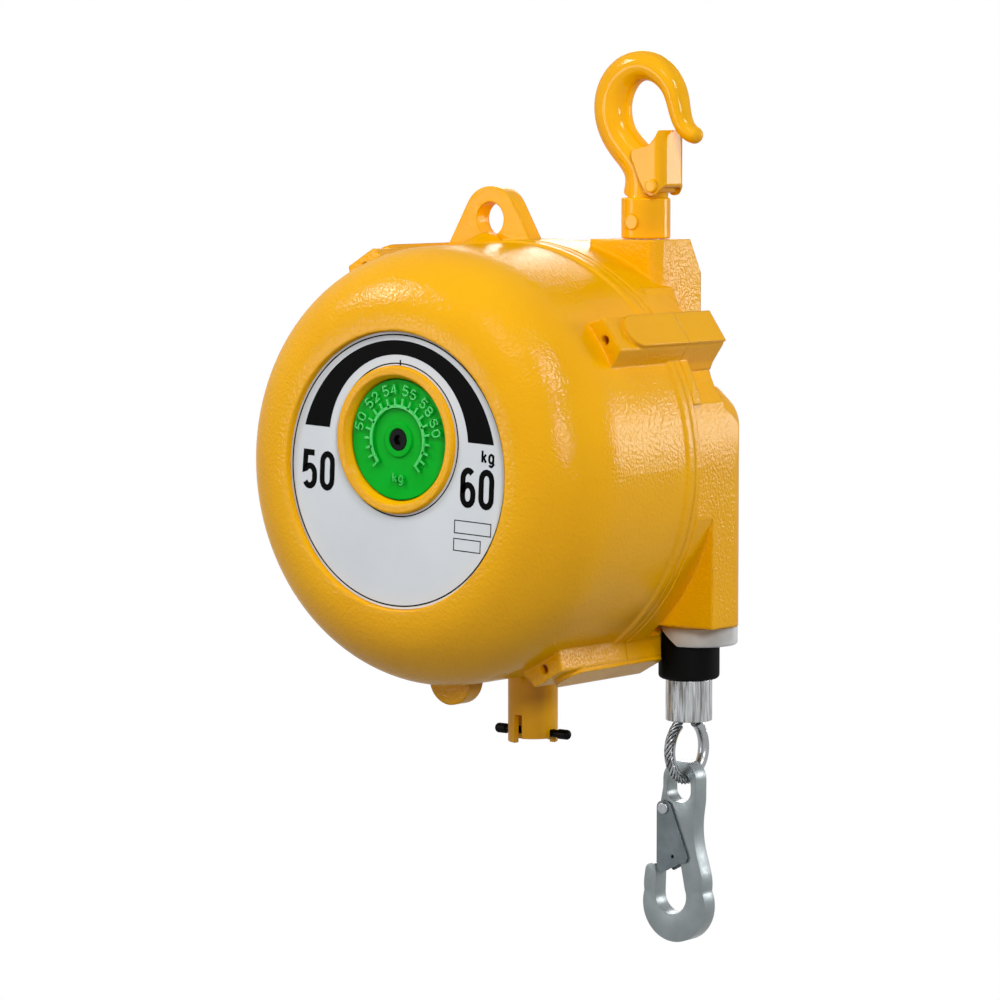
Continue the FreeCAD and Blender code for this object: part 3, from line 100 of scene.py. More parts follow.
# %% Camera
eye_point = Vector((1.6297, -2.2673, -0.0289))
aim_point = Vector((-0.0476, -0.093, -0.2677))
camera_data = bpy.data.cameras.new("camera")
camera_data.lens = 154.8
camera_data.sensor_width = 36.0
camera_data.clip_end = 50.0
camera = bpy.data.objects.new("camera", camera_data)
camera.location = eye_point
camera.rotation_euler = (aim_point - eye_point).to_track_quat("-Z", "Y").to_euler()
bpy.context.scene.collection.objects.link(camera)
bpy.context.scene.camera = camera
bpy.context.scene.view_settings.view_transform = "Standard"
print("camera is", round((aim_point - eye_point).length, 2), "m away")


# %% White seen directly, dimmer light on the part
def white_when_seen(tree, dim, white_kind, surface):
    """Plain white to the camera, in mirrors and through glass; dim is what lights the part."""
    path = tree.nodes.new("ShaderNodeLightPath")
    seen = path.outputs["Is Camera Ray"]
    for name in ("Is Glossy Ray", "Is Transmission Ray"):
        either = tree.nodes.new("ShaderNodeMath")
        either.operation = "MAXIMUM"
        tree.links.new(seen, either.inputs[0])
        tree.links.new(path.outputs[name], either.inputs[1])
        seen = either.outputs[0]
    mix = tree.nodes.new("ShaderNodeMixShader")
    white = tree.nodes.new(white_kind)
    white.inputs["Color"].default_value = (1, 1, 1, 1)
    white.inputs["Strength"].default_value = 1.0
    tree.links.new(seen, mix.inputs[0])
    tree.links.new(dim, mix.inputs[1])
    tree.links.new(white.outputs[0], mix.inputs[2])
    tree.links.new(mix.outputs[0], surface)


world = bpy.data.worlds.new("studio")
bpy.context.scene.world = world
world.use_nodes = True
sky = world.node_tree.nodes["Background"]
sky.inputs["Color"].default_value = (0.93, 0.96, 1.0, 1)
sky.inputs["Strength"].default_value = 0.06
white_when_seen(world.node_tree, sky.outputs[0], "ShaderNodeBackground",
                world.node_tree.nodes["World Output"].inputs["Surface"])
print("sky lights the part at", round(sky.inputs["Strength"].default_value, 2))

# %% [markdown]
# The floor lies so low that the hook stays above it even with all of its rope pulled out. It
# shows as white too, and what it gives the part is only a little light from below.

# %% Floor
floor_drop = 1.9
floor_half = 30.0
floor_level = cad_bounds[0][2] - floor_drop
floor_corners = [(x * floor_half, y * floor_half, floor_level)
                 for x, y in ((-1, -1), (1, -1), (1, 1), (-1, 1))]
floor_mesh = bpy.data.meshes.new("floor")
floor_mesh.from_pydata(floor_corners, [], [(0, 1, 2, 3)])
floor = bpy.data.objects.new("floor", floor_mesh)
bpy.context.scene.collection.objects.link(floor)
floor_paint = bpy.data.materials.new("floor_paint")
floor_paint.use_nodes = True
shader = floor_paint.node_tree.nodes["Principled BSDF"]
shader.inputs["Base Color"].default_value = (0.8, 0.8, 0.8, 1)
shader.inputs["Roughness"].default_value = 0.9
white_when_seen(floor_paint.node_tree, shader.outputs[0], "ShaderNodeEmission",
                floor_paint.node_tree.nodes["Material Output"].inputs["Surface"])
floor_mesh.materials.append(floor_paint)
print("floor at", round(floor_level, 3))

# %% [markdown]
# Seven square soft boxes light the part, all aimed at its middle. Four of them stand left and
# right of the camera, one stands high in front, and two stand behind the part for its far edges.


# %% Lamps
def soft_lamp(name, place, aim, side, watts):
    data = bpy.data.lights.new(name, "AREA")
    data.shape = "SQUARE"
    data.size = side
    data.energy = watts
    lamp = bpy.data.objects.new(name, data)
    lamp.location = place
    lamp.rotation_euler = (Vector(aim) - Vector(place)).to_track_quat("-Z", "Y").to_euler()
    bpy.context.scene.collection.objects.link(lamp)


middle = (-0.05, -0.1, -0.25)
# name, place in metres, side of its square in metres, watts
lamps = [("left_box", (-1.48, -1.13, 1.07), 0.5, 22),
         ("front_box", (-1.49, -2.02, -0.13), 0.6, 8),
         ("front_high", (0.17, -1.69, 1.25), 0.5, 5),
         ("right_box", (1.62, -1.44, 0.28), 0.35, 14),
         ("right_high", (1.25, -0.98, 1.14), 0.45, 17),
         ("sheen_box", (1.12, 1.5, 0.03), 0.55, 13),
         ("rear_box", (-1.1, 1.8, 0.5), 0.7, 12)]
for name, place, side, watts in lamps:
    soft_lamp(name, place, middle, side, watts)
print(len(lamps), "lamps")

# %% [markdown]
# ## Finishes
# A finish here is a Principled shader whose colour, roughness and bump vary over the surface by
# noise. The noise is read in object space, in metres, so its scale is the real one: a scale of
# 500 gives grains of two millimetres, the size of the orange-peel in sprayed enamel.


# %% The finish maker
class Finish:
    """A Principled material, with helpers that add noise to one socket at a time."""

    noise_low, noise_high = 0.3, 0.7  # the band that most of the noise lies in
    edge_samples = 6

    def __init__(self, name, colour, roughness, metallic=0.0, coat=0.0, specular=0.5, skin=0.1):
        """coat is the weight of a clear coat over the base, and skin is that coat's roughness."""
        self.material = bpy.data.materials.new(name)
        self.material.use_nodes = True
        self.tree = self.material.node_tree
        self.shader = self.tree.nodes["Principled BSDF"]
        self.shader.inputs["Base Color"].default_value = colour
        self.shader.inputs["Roughness"].default_value = roughness
        self.shader.inputs["Metallic"].default_value = metallic
        self.shader.inputs["Coat Weight"].default_value = coat
        self.shader.inputs["Coat Roughness"].default_value = skin
        self.shader.inputs["Specular IOR Level"].default_value = specular
        self.place = self.tree.nodes.new("ShaderNodeTexCoord").outputs["Object"]
        self.normal = None

    def stretched(self, scale):
        mapping = self.tree.nodes.new("ShaderNodeMapping")
        mapping.inputs["Scale"].default_value = scale
        self.tree.links.new(self.place, mapping.inputs["Vector"])
        return mapping.outputs["Vector"]

    def noise(self, scale, detail=3.0, stretch=None):
        node = self.tree.nodes.new("ShaderNodeTexNoise")
        node.inputs["Scale"].default_value = scale
        node.inputs["Detail"].default_value = detail
        place = self.stretched(stretch) if stretch else self.place
        self.tree.links.new(place, node.inputs["Vector"])
        return node.outputs["Fac"]

    def colours(self, factor, stops):
        """stops holds two pairs of a noise value and the colour there."""
        ramp = self.tree.nodes.new("ShaderNodeValToRGB")
        for element, (position, colour) in zip(ramp.color_ramp.elements, stops):
            element.position, element.color = position, colour
        self.tree.links.new(factor, ramp.inputs["Fac"])
        self.tree.links.new(ramp.outputs["Color"], self.shader.inputs["Base Color"])

    def rough(self, factor, smooth, dull):
        spread = self.tree.nodes.new("ShaderNodeMapRange")
        spread.inputs["From Min"].default_value = self.noise_low
        spread.inputs["From Max"].default_value = self.noise_high
        spread.inputs["To Min"].default_value = smooth
        spread.inputs["To Max"].default_value = dull
        self.tree.links.new(factor, spread.inputs["Value"])
        self.tree.links.new(spread.outputs["Result"], self.shader.inputs["Roughness"])

    def bump(self, height, depth_mm, strength):
        node = self.tree.nodes.new("ShaderNodeBump")
        node.inputs["Strength"].default_value = strength
        node.inputs["Distance"].default_value = depth_mm * MM
        self.tree.links.new(height, node.inputs["Height"])
        if self.normal:
            self.tree.links.new(self.normal, node.inputs["Normal"])
        self.facing(node.outputs["Normal"])

    def facing(self, normal):
        """Paint and the clear skin on it share one surface, so both get the same normal."""
        self.normal = normal
        self.tree.links.new(normal, self.shader.inputs["Normal"])
        self.tree.links.new(normal, self.shader.inputs["Coat Normal"])

    def soft_edges(self, radius_mm):
        """Rounds the shading at corners; a later bump lies on top of it."""
        node = self.tree.nodes.new("ShaderNodeBevel")
        node.samples = self.edge_samples
        node.inputs["Radius"].default_value = radius_mm * MM
        self.facing(node.outputs["Normal"])

    def on(self, *names):
        for name in names:
            slots = part[name].data.materials
            slots.clear()
            slots.append(self.material)


print("finish maker ready")

# %% [markdown]
# ## Yellow enamel
# The two castings and the cap are sprayed with thick gloss enamel. It dries with a fine
# orange-peel, and it pools a little, so the colour drifts by a shade. Two noises make the skin:
# a grain of about two millimetres, and a slow swell of about two centimetres from the sand
# casting. All the shine is in a thin clear coat over a plain base. If the base shone too, it
# would mirror the white room and the yellow would turn pale.

# %% Enamel on the castings
enamel_yellow = chart(250, 182, 0)
enamel_deep = chart(244, 174, 0)
casting_enamel = Finish("casting_enamel", enamel_yellow, 0.5, coat=0.3, specular=0.0, skin=0.08)
casting_enamel.soft_edges(radius_mm=2.3)
casting_enamel.colours(casting_enamel.noise(14.0), [(0.35, enamel_deep), (0.7, enamel_yellow)])
casting_enamel.bump(casting_enamel.noise(45.0, detail=1.0), depth_mm=0.3, strength=0.5)
casting_enamel.bump(casting_enamel.noise(500.0, detail=1.5), depth_mm=0.48, strength=0.85)
casting_enamel.on("front_case", "rear_housing", "rear_cap")
print("enamel on the castings")

# %% Smoother enamel on the forged and turned pieces
fitting_enamel = Finish("fitting_enamel", enamel_yellow, 0.5, coat=0.32, specular=0.0, skin=0.08)
fitting_enamel.soft_edges(radius_mm=1.1)
fitting_enamel.colours(fitting_enamel.noise(30.0), [(0.35, enamel_deep), (0.7, enamel_yellow)])
fitting_enamel.bump(fitting_enamel.noise(160.0, detail=2.0), depth_mm=0.22, strength=0.6)
fitting_enamel.on("top_hook", "top_latch", "top_latch_rivet", "swivel_collar", "collar_pin",
                  "lock_sleeve")
print("enamel on the hanging hook and the lock sleeve")

# %% [markdown]
# ## Metals
# Zinc plate is grey and slightly mottled, pressed aluminium carries streaks along the way it was
# drawn, and their dark colour also stands in as a painted dark reflection. Turned parts inside
# the case shine more. One loop makes the plain metals inside and on fasteners, since they differ
# only in colour and roughness; the others get their own texture.

# %% Plain metals inside and on fasteners
plain_metals = [
    ("ground_steel", chart(176, 178, 182), 0.25,
     ["main_shaft", "wheel_key", "worm_shaft", "swivel_stud", "keeper_pins", "lock_plunger"]),
    ("zinc_fasteners", chart(150, 152, 156), 0.35,
     ["case_bolts", "rear_cap_screws", "drum_screws", "rope_anchor"]),
    ("bearing_steel", chart(205, 206, 210), 0.12,
     ["bearing_inner_rings", "bearing_outer_rings", "bearing_balls"]),
    ("spring_strip", chart(70, 78, 96), 0.3,
     ["mainspring", "lock_spring"]),
    ("bronze", chart(188, 138, 70), 0.3,
     ["shaft_bushes", "cover_bush", "worm_wheel"]),
    ("cast_aluminium", chart(186, 187, 190), 0.45,
     ["spring_arbor", "spring_case", "spring_cover", "cable_drum"])]
smoothest, dullest = 0.8, 1.3
for name, colour, roughness, nodes in plain_metals:
    metal = Finish(name, colour, roughness, metallic=1.0)
    metal.rough(metal.noise(220.0), smooth=roughness * smoothest, dull=roughness * dullest)
    metal.bump(metal.noise(500.0), depth_mm=0.03, strength=0.4)
    metal.on(*nodes)
print(len(plain_metals), "plain metals")

# %% Pressed ferrule
along_rope = (900.0, 900.0, 55.0)
ferrule_metal = Finish("ferrule_metal", chart(200, 202, 205), 0.3, metallic=1.0)
# Streaks along the rope: partly drawing marks, and in their dark colour partly a painted dark
# reflection
streaks_and_painted_reflection = ferrule_metal.noise(1.0, detail=4.0, stretch=along_rope)
ferrule_metal.colours(streaks_and_painted_reflection, [(0.34, chart(104, 102, 98)), (0.66, chart(196, 200, 203))])
ferrule_metal.rough(streaks_and_painted_reflection, smooth=0.45, dull=0.2)
ferrule_metal.bump(streaks_and_painted_reflection, depth_mm=0.08, strength=0.5)
ferrule_metal.on("ferrule")
print("ferrule streaked along the rope")

# %% Zinc on the snap hook
hook_zinc = Finish("hook_zinc", chart(126, 133, 135), 0.36, metallic=0.6)
mottle = hook_zinc.noise(90.0, detail=5.0)
hook_zinc.colours(mottle, [(0.25, chart(120, 128, 130)), (0.75, chart(134, 141, 143))])
hook_zinc.rough(hook_zinc.noise(240.0), smooth=0.3, dull=0.42)
hook_zinc.bump(hook_zinc.noise(420.0), depth_mm=0.06, strength=0.6)
print("zinc for the forged hook")

# %% Zinc on the latch, its rivet and the thimble
latch_zinc = Finish("latch_zinc", chart(96, 106, 112), 0.36, metallic=0.7)
latch_zinc.soft_edges(radius_mm=0.5)
latch_mottle = latch_zinc.noise(110.0, detail=4.0)
latch_zinc.colours(latch_mottle, [(0.3, chart(88, 97, 101)), (0.7, chart(104, 113, 117))])
latch_zinc.bump(latch_zinc.noise(300.0), depth_mm=0.04, strength=0.5)
latch_zinc.on("lower_latch")
bright_zinc = Finish("bright_zinc", chart(150, 153, 156), 0.22, metallic=1.0)
bright_zinc.rough(bright_zinc.noise(300.0), smooth=0.16, dull=0.34)
bright_zinc.bump(bright_zinc.noise(260.0), depth_mm=0.05, strength=0.5)
bright_zinc.on("thimble", "lower_latch_rivet")
print("zinc for the small pieces")

# %% [markdown]
# ## Plastics, rubber and the plate
# The rope guide is cut from white nylon, and the bump stop under it is black rubber, which is
# rough and soaks up light. The dial is moulded in bright green. Its raised figures and ticks are
# painted a paler green, a painted highlight for the light on their edges. The plate is a dull
# white.

# %% Nylon and rubber
nylon = Finish("nylon", chart(232, 232, 230), 0.45, specular=0.2)
nylon.colours(nylon.noise(60.0), [(0.3, chart(214, 215, 214)), (0.7, chart(240, 240, 238))])
nylon.bump(nylon.noise(400.0), depth_mm=0.05, strength=0.4)
nylon.on("cable_guide")
rubber = Finish("rubber", chart(9, 9, 9), 0.55, coat=0.12, specular=0.0, skin=0.35)
rubber.bump(rubber.noise(700.0), depth_mm=0.05, strength=0.5)
rubber.on("rope_stopper", "lock_knobs")
print("nylon guide, rubber stop and knobs")

# %% Greens of the dial
dial_green = Finish("dial_green", chart(4, 182, 44), 0.4, coat=0.05, specular=0.0, skin=0.2)
dial_green.soft_edges(radius_mm=0.4)
dial_green.colours(dial_green.noise(70.0), [(0.3, chart(0, 174, 34)), (0.7, chart(2, 184, 42))])
dial_green.bump(dial_green.noise(350.0), depth_mm=0.03, strength=0.4)
dial_green.on("load_dial")
# Paler green for the raised figures and ticks: a painted highlight standing in for the light on
# their edges
painted_highlight_green = Finish("painted_highlight_green", chart(30, 200, 78), 0.3, coat=0.4, specular=0.0, skin=0.14)
painted_highlight_green.soft_edges(radius_mm=0.45)
painted_highlight_green.colours(painted_highlight_green.noise(90.0), [(0.3, chart(20, 194, 64)), (0.7, chart(40, 206, 84))])
print("two greens")

# %% Black oxide, white plate and its ink
black_oxide = Finish("black_oxide", chart(7, 7, 7), 0.4, coat=0.1, specular=0.0, skin=0.3)
black_oxide.bump(black_oxide.noise(500.0), depth_mm=0.04, strength=0.5)
black_oxide.on("dial_screw", "lock_handle")
plate_white = Finish("plate_white", chart(221, 225, 229), 0.36, coat=0.12, specular=0.0, skin=0.2)
plate_white.rough(plate_white.noise(50.0), smooth=0.3, dull=0.42)
plate_shade = plate_white.noise(18.0)
plate_white.colours(plate_shade, [(0.3, chart(215, 220, 225)), (0.7, chart(224, 228, 232))])
plate_white.on("scale_plate")
ink = Finish("ink", chart(5, 5, 5), 0.4, coat=0.03, specular=0.0, skin=0.25)
ink.bump(ink.noise(500.0), depth_mm=0.01, strength=0.3)
print("black oxide, plate and ink")

# %% [markdown]
# ## Print on the scale plate
# The plate carries a black arc and the two ends of the load range. Print has almost no height, so
# each mark is a thin slab that stands a tenth of a millimetre proud of the plate. All marks are
# drawn flat, in millimetres from the plate's centre, and turned by the print's small tilt.


# %% Places on the plate
def front_centre(node):
    """Middle of a node's front, which is its low y side."""
    low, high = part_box(node)
    return Vector(((low[0] + high[0]) / 2, low[1], (low[2] + high[2]) / 2))


plate_centre = front_centre("scale_plate")
dial_centre = front_centre("load_dial")
print_height = 0.12
print_tilt = math.radians(2.5)
print("plate face at y", round(plate_centre.y, 4))


# %% Meshes, pieces and flat outlines
def mesh_from(build, name):
    bmesh.ops.recalc_face_normals(build, faces=build.faces)
    mesh = bpy.data.meshes.new(name)
    build.to_mesh(mesh)
    build.free()
    return mesh


def new_piece(name, mesh, finish, body):
    piece = bpy.data.objects.new(name, mesh)
    bpy.context.scene.collection.objects.link(piece)
    mesh.materials.clear()
    mesh.materials.append(finish.material)
    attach(piece, body)
    return piece


def slab(outline, height_mm, place, tilt):
    """A closed outline in millimetres, raised towards the viewer from place."""
    build = bmesh.new()
    turn = Matrix.Rotation(tilt, 4, "Y")
    back, front = ([build.verts.new(place + turn @ Vector((x * MM, depth * MM, z * MM)))
                    for x, z in outline] for depth in (0.0, -height_mm))
    build.faces.new(front)
    build.faces.new(list(reversed(back)))
    for i in range(len(front)):
        j = (i + 1) % len(front)
        build.faces.new([back[i], back[j], front[j], front[i]])
    return mesh_from(build, "slab")


def arc(radius, start, end, count, centre=(0.0, 0.0)):
    """Points on a circle, angles in degrees clockwise from the top."""
    points = []
    for i in range(count + 1):
        angle = math.radians(start + (end - start) * i / count)
        points.append((centre[0] + radius * math.sin(angle), centre[1] + radius * math.cos(angle)))
    return points


print("slab and arc helpers")

# %% [markdown]
# The thick arc has an outer and an inner rim. Each is part of a circle with its own centre, which
# rises a little over the plate's. So the arc is thinnest at the top, and both feet end level.

# %% Thick arc over the dial
outer_radius, outer_rise = 78.2, 3.5
inner_radius, inner_rise = 55.9, 16.8
arc_foot = 22.6
rim_steps = 72
outer_end = math.degrees(math.acos((arc_foot - outer_rise) / outer_radius))
inner_end = math.degrees(math.acos((arc_foot - inner_rise) / inner_radius))
crescent = (arc(outer_radius, -outer_end, outer_end, rim_steps, (0, outer_rise))
            + arc(inner_radius, inner_end, -inner_end, rim_steps, (0, inner_rise)))
arc_mesh = slab(crescent, print_height, plate_centre, print_tilt)
new_piece("plate_arc", arc_mesh, ink, "housing")
print("arc ends", round(outer_end), "degrees from the top")

# %% [markdown]
# Rings, frames and figures are all lines of one even width. So one helper lays a band along a row
# of points: it finds the left and right edge at each point, raises both, and closes the ends. A
# corner keeps its full width because the edges are pushed out where two lines meet.

# %% A raised band along a row of points
sharpest_mitre = 0.45
overlap_step = 0.02


def band_edges(points, width, closed):
    """Left and right edge of a flat band, point by point, with mitred corners."""
    sides = []
    count = len(points)
    for i, point in enumerate(points):
        before = points[i - 1] if i > 0 or closed else None
        after = points[(i + 1) % count] if i < count - 1 or closed else None
        ways = []
        if before is not None:
            ways.append((Vector(point) - Vector(before)).normalized())
        if after is not None:
            ways.append((Vector(after) - Vector(point)).normalized())
        along = sum(ways, Vector((0, 0))).normalized()
        across = Vector((-along.y, along.x))
        first = Vector((-ways[0].y, ways[0].x))
        reach = width / 2 / max(across.dot(first), sharpest_mitre)
        sides.append((Vector(point) + across * reach, Vector(point) - across * reach))
    return sides


def add_band(build, points, width, height, seat, closed):
    """seat turns flat millimetres and a height into a place on the part."""
    stations = []
    for left, right in band_edges(points, width, closed):
        corners = [(left, height), (right, height), (right, 0.0), (left, 0.0)]
        stations.append([build.verts.new(seat(c.x, c.y, h)) for c, h in corners])
    following = stations[1:] + stations[:1] if closed else stations[1:]
    for a, b in zip(stations, following):
        for k in range(4):
            n = (k + 1) % 4
            build.faces.new([a[k], a[n], b[n], b[k]])
    if not closed:
        build.faces.new(stations[0])
        build.faces.new(list(reversed(stations[-1])))


def raised_bands(bands, height_mm, place, turn=0.0):
    """bands holds (points, width, closed); place and turn put them on the part.

    Bands of one word overlap, so neighbours differ a little in height and their tops don't lie
    in one plane.
    """
    rotation = Matrix.Rotation(turn, 3, "Y")

    def seat(x, z, rise):
        return place + rotation @ Vector((x * MM, -rise * MM, z * MM))

    build = bmesh.new()
    for i, (points, width, closed) in enumerate(bands):
        add_band(build, points, width, height_mm * (1 - overlap_step * (i % 3)), seat, closed)
    return mesh_from(build, "bands")


def ring(radius, count, centre=(0.0, 0.0)):
    return arc(radius, 0, 360, count, centre)[:-1]


def field(left, right, bottom, top):
    return [(left, bottom), (right, bottom), (right, top), (left, top)]


print("band helper ready")

# %% Thin rings, empty fields and the mark over the dial
dial_rise = (dial_centre.z - plate_centre.z) / MM
outer_ring = ring(85.2, 120)
inner_ring = ring(48.0, 96, (0, dial_rise))
mark_foot, mark_head = 46.8, 50.2
mark = [(0.0, dial_rise + mark_foot), (0.0, dial_rise + mark_head)]
upper_field = field(left=47.2, right=75.6, bottom=-34.2, top=-26.4)
lower_field = field(left=47.0, right=67.8, bottom=-45.2, top=-37.8)
fine_lines = [(outer_ring, 0.9, True), (inner_ring, 0.8, True), (mark, 1.0, False),
              (upper_field, 0.6, True), (lower_field, 0.6, True)]
line_mesh = raised_bands(fine_lines, print_height, plate_centre, print_tilt)
new_piece("plate_lines", line_mesh, ink, "housing")
print(len(fine_lines), "fine lines")

# %% [markdown]
# The figures are drawn as strokes too, in the narrow shape of plate lettering. Each one is written
# in a cell that is one unit wide and one high, then stretched to its size, so the same six figures
# serve the bold print on the plate and the fine moulding on the dial.


# %% Strokes of the figures
def bend(cx, cz, rx, rz, start, end, steps=8):
    """Part of an ellipse, angles in degrees clockwise from the top."""
    turns = [math.radians(start + (end - start) * i / steps) for i in range(steps + 1)]
    return [(cx + rx * math.sin(t), cz + rz * math.cos(t)) for t in turns]


def loop(low, high, squash):
    """A closed tall ring from low to high; squash is the height of its round ends."""
    top = bend(0.5, high - squash, 0.5, squash, -90, 90)
    return top + bend(0.5, low + squash, 0.5, squash, 90, 270)


def strokes(sign, end):
    """(points, closed) for one sign; end is the height of its round ends in the unit cell."""
    if sign == "0":
        return [(loop(0, 1, end), True)]
    if sign == "8":
        return [(loop(0.53, 1, min(end, 0.23)), True), (loop(0, 0.53, min(end, 0.26)), True)]
    low = min(end, 0.28)
    if sign == "6":
        back = bend(0.5, 1 - end, 0.5, end, 48, -90) + bend(0.5, low, 0.5, low, 270, 90)
        return [(back + bend(0.5, 0.58 - low, 0.5, low, 90, -90), False)]
    if sign == "5":
        belly = bend(0.5, 0.6 - low, 0.5, low, -50, 90) + bend(0.5, low, 0.5, low, 90, 240)
        return [([(0.93, 1), (0.06, 1), (0.0, 0.5)] + belly, False)]
    if sign == "2":
        return [(bend(0.5, 1 - end, 0.5, end, -80, 115) + [(0, 0), (1, 0)], False)]
    if sign == "4":
        return [([(1, 0.27), (0, 0.27), (0.68, 1)], False), ([(0.74, 0), (0.74, 1.03)], False)]
    if sign == "k":
        arm, leg = [(0.9, 0.68), (0.12, 0.26)], [(0.36, 0.42), (0.95, 0)]
        return [([(0.06, 0), (0.06, 1)], False), (arm, False), (leg, False)]
    # g is the only sign left; its tail goes below the cell
    tail = [(1, 0.7), (1, -0.06)] + bend(0.5, -0.06, 0.5, 0.24, 90, 240)
    return [(loop(0, 0.7, 0.3), True), (tail, False)]


def lettering(text, tall, wide, gap, stroke, end):
    """Bands for a word, centred on the origin, in millimetres."""
    bands = []
    across = len(text) * wide + (len(text) - 1) * gap
    reach = (wide - stroke, tall - stroke)
    for i, sign in enumerate(text):
        left = -across / 2 + i * (wide + gap) + stroke / 2
        for points, closed in strokes(sign, end):
            placed = [(left + x * reach[0], (z - 0.5) * reach[1]) for x, z in points]
            bands.append((placed, stroke, closed))
    return bands


print("six figures and two letters as strokes")


# %% Figures on the plate
def on_plate(x, z):
    return plate_centre + Matrix.Rotation(print_tilt, 3, "Y") @ Vector((x * MM, 0, z * MM))


# a style is the cell's height and width, the gap, the stroke's width, and its round ends
bold_style = (25.2, 12.0, 2.4, 3.9, 0.24)
plate_unit_style = (8.8, 4.7, 0.8, 1.5, 0.3)
plate_words = [("plate_low_figure", "50", bold_style, -63.8, -5.4),
               ("plate_high_figure", "60", bold_style, 63.9, -5.4),
               ("plate_unit", "kg", plate_unit_style, 71.4, 15.0)]
for name, text, style, x, z in plate_words:
    mesh = raised_bands(lettering(text, *style), print_height, on_plate(x, z), print_tilt)
    new_piece(name, mesh, ink, "housing")
print(len(plate_words), "words on the plate")

# %% [markdown]
# ## The dial
# Figures and a comb of ticks stand proud of the green disc, one tick for each kilogram. They are
# moulded in one with the disc, and their edges are kept soft enough to catch the light. They are
# also painted a paler green than the disc, a painted highlight that helps make them readable.

# %% Ticks of the dial
ring_radius, ring_width, tick_length, tick_width = 21.1, 2.2, 5.2, 1.5
first_tick, last_tick, tick_count = -132.0, 138.0, 20
past_last_tick, comb_steps = 2, 90
mould_rise = 0.8
comb_ring = arc(ring_radius, first_tick - past_last_tick, last_tick + past_last_tick, comb_steps)
comb = [(comb_ring, ring_width, False)]
for i in range(tick_count):
    angle = math.radians(first_tick + (last_tick - first_tick) * i / (tick_count - 1))
    along = Vector((math.sin(angle), math.cos(angle)))
    near, far = along * ring_radius, along * (ring_radius + tick_length)
    comb.append(([tuple(near), tuple(far)], tick_width, False))
comb_mesh = raised_bands(comb, mould_rise, dial_centre)
new_piece("dial_ticks", comb_mesh, painted_highlight_green, "dial_and_shaft")
print(tick_count, "ticks on the dial")

# %% Figures of the dial
dial_figures = [("50", -70.4), ("52", -39.5), ("54", -10.9), ("56", 18.4), ("58", 47.8),
                ("60", 74.6)]
figure_radius = 31.4
figure_style = (7.0, 5.0, 1.5, 1.05, 0.34)
dial_unit_style = (6.6, 3.7, 1.3, 0.95, 0.3)
for text, degrees in dial_figures:
    angle = math.radians(degrees)
    outward = Vector((figure_radius * math.sin(angle), 0, figure_radius * math.cos(angle)))
    place = dial_centre + outward * MM
    mesh = raised_bands(lettering(text, *figure_style), mould_rise, place, angle)
    new_piece("dial_" + text, mesh, painted_highlight_green, "dial_and_shaft")
unit_offset = Vector((0.3 * MM, 0, -23.6 * MM))
unit_bands = lettering("kg", *dial_unit_style)
unit_mesh = raised_bands(unit_bands, mould_rise, dial_centre + unit_offset)
new_piece("dial_unit", unit_mesh, painted_highlight_green, "dial_and_shaft")
print(len(dial_figures), "figures on the dial")

# %% [markdown]
# ## Wire rope
# A wire rope is six strands laid round a core, and each strand is itself a bundle of wires. Here
# a strand is swept along a helix with a lobed section that turns as it goes, so its wires show as
# ridges in the mesh. The straight run stretches as the hook is pulled down, and the loop doesn't.

# %% Sizes of the rope, in millimetres
rope_x, rope_y = 33.0, 3.5
rope_radius = 3.0
strand_count, strand_radius, lay_length = 6, 0.98, 21.0
wire_count, wire_ridge, wire_lay = 7, 0.1, 9.0
core_sides = 12
core_radius = rope_radius - 1.7 * strand_radius
loop_y = 1.3
loop_radius, loop_drop, loop_leg, leg_grip = 20.2, 19.0, 8.5, 4.0
ferrule_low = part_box("ferrule")[0][2] / MM
sideways = Vector((1, 0, 0))
rope_steel = Finish("rope_steel", chart(172, 174, 176), 0.34, metallic=0.95)
# Dark and pale patches at random, about four millimetres across
rope_patches = rope_steel.noise(260.0, detail=4.0)
rope_steel.colours(rope_patches, [(0.3, chart(72, 74, 76)), (0.6, chart(158, 161, 164))])
rope_steel.bump(rope_steel.noise(900.0), depth_mm=0.03, strength=0.5)
rope_steel.on("wound_rope", "rope_run", "rope_eye")
print("ferrule ends at", round(ferrule_low, 1), "mm")


# %% Strands and core along a line
def tangents(line):
    ways = []
    for i in range(len(line)):
        before, after = line[max(i - 1, 0)], line[min(i + 1, len(line) - 1)]
        ways.append((after - before).normalized())
    return ways


def sweep(build, rings):
    """Walls between rings of vertices, and a cap on either end."""
    sides = len(rings[0])
    for a, b in zip(rings, rings[1:]):
        for k in range(sides):
            n = (k + 1) % sides
            build.faces.new([a[k], a[n], b[n], b[k]])
    build.faces.new(list(reversed(rings[0])))
    build.faces.new(rings[-1])


def strand_mesh(line, sides):
    """line is a row of points in the plane across sideways; sides counts a section's corners."""
    build = bmesh.new()
    travelled = [0.0]
    for a, b in zip(line, line[1:]):
        travelled.append(travelled[-1] + (b - a).length)
    ways = tangents(line)
    centre_radius = rope_radius - strand_radius
    for strand in range(strand_count):
        rings = []
        for i, point in enumerate(line):
            up = ways[i].cross(sideways)
            lay = 2 * math.pi * (strand / strand_count + travelled[i] / lay_length)
            out = sideways * math.cos(lay) + up * math.sin(lay)
            around = ways[i].cross(out)
            section = []
            for k in range(sides):
                angle = 2 * math.pi * k / sides
                twist = wire_count * (angle + 2 * math.pi * travelled[i] / wire_lay / wire_count)
                size = strand_radius * (1 - wire_ridge + wire_ridge * math.cos(twist))
                spot = point + out * (centre_radius + size * math.cos(angle))
                spot = spot + around * (size * math.sin(angle))
                section.append(build.verts.new(spot * MM))
            rings.append(section)
        sweep(build, rings)
    mesh = mesh_from(build, "strands")
    mesh.shade_smooth()
    return mesh


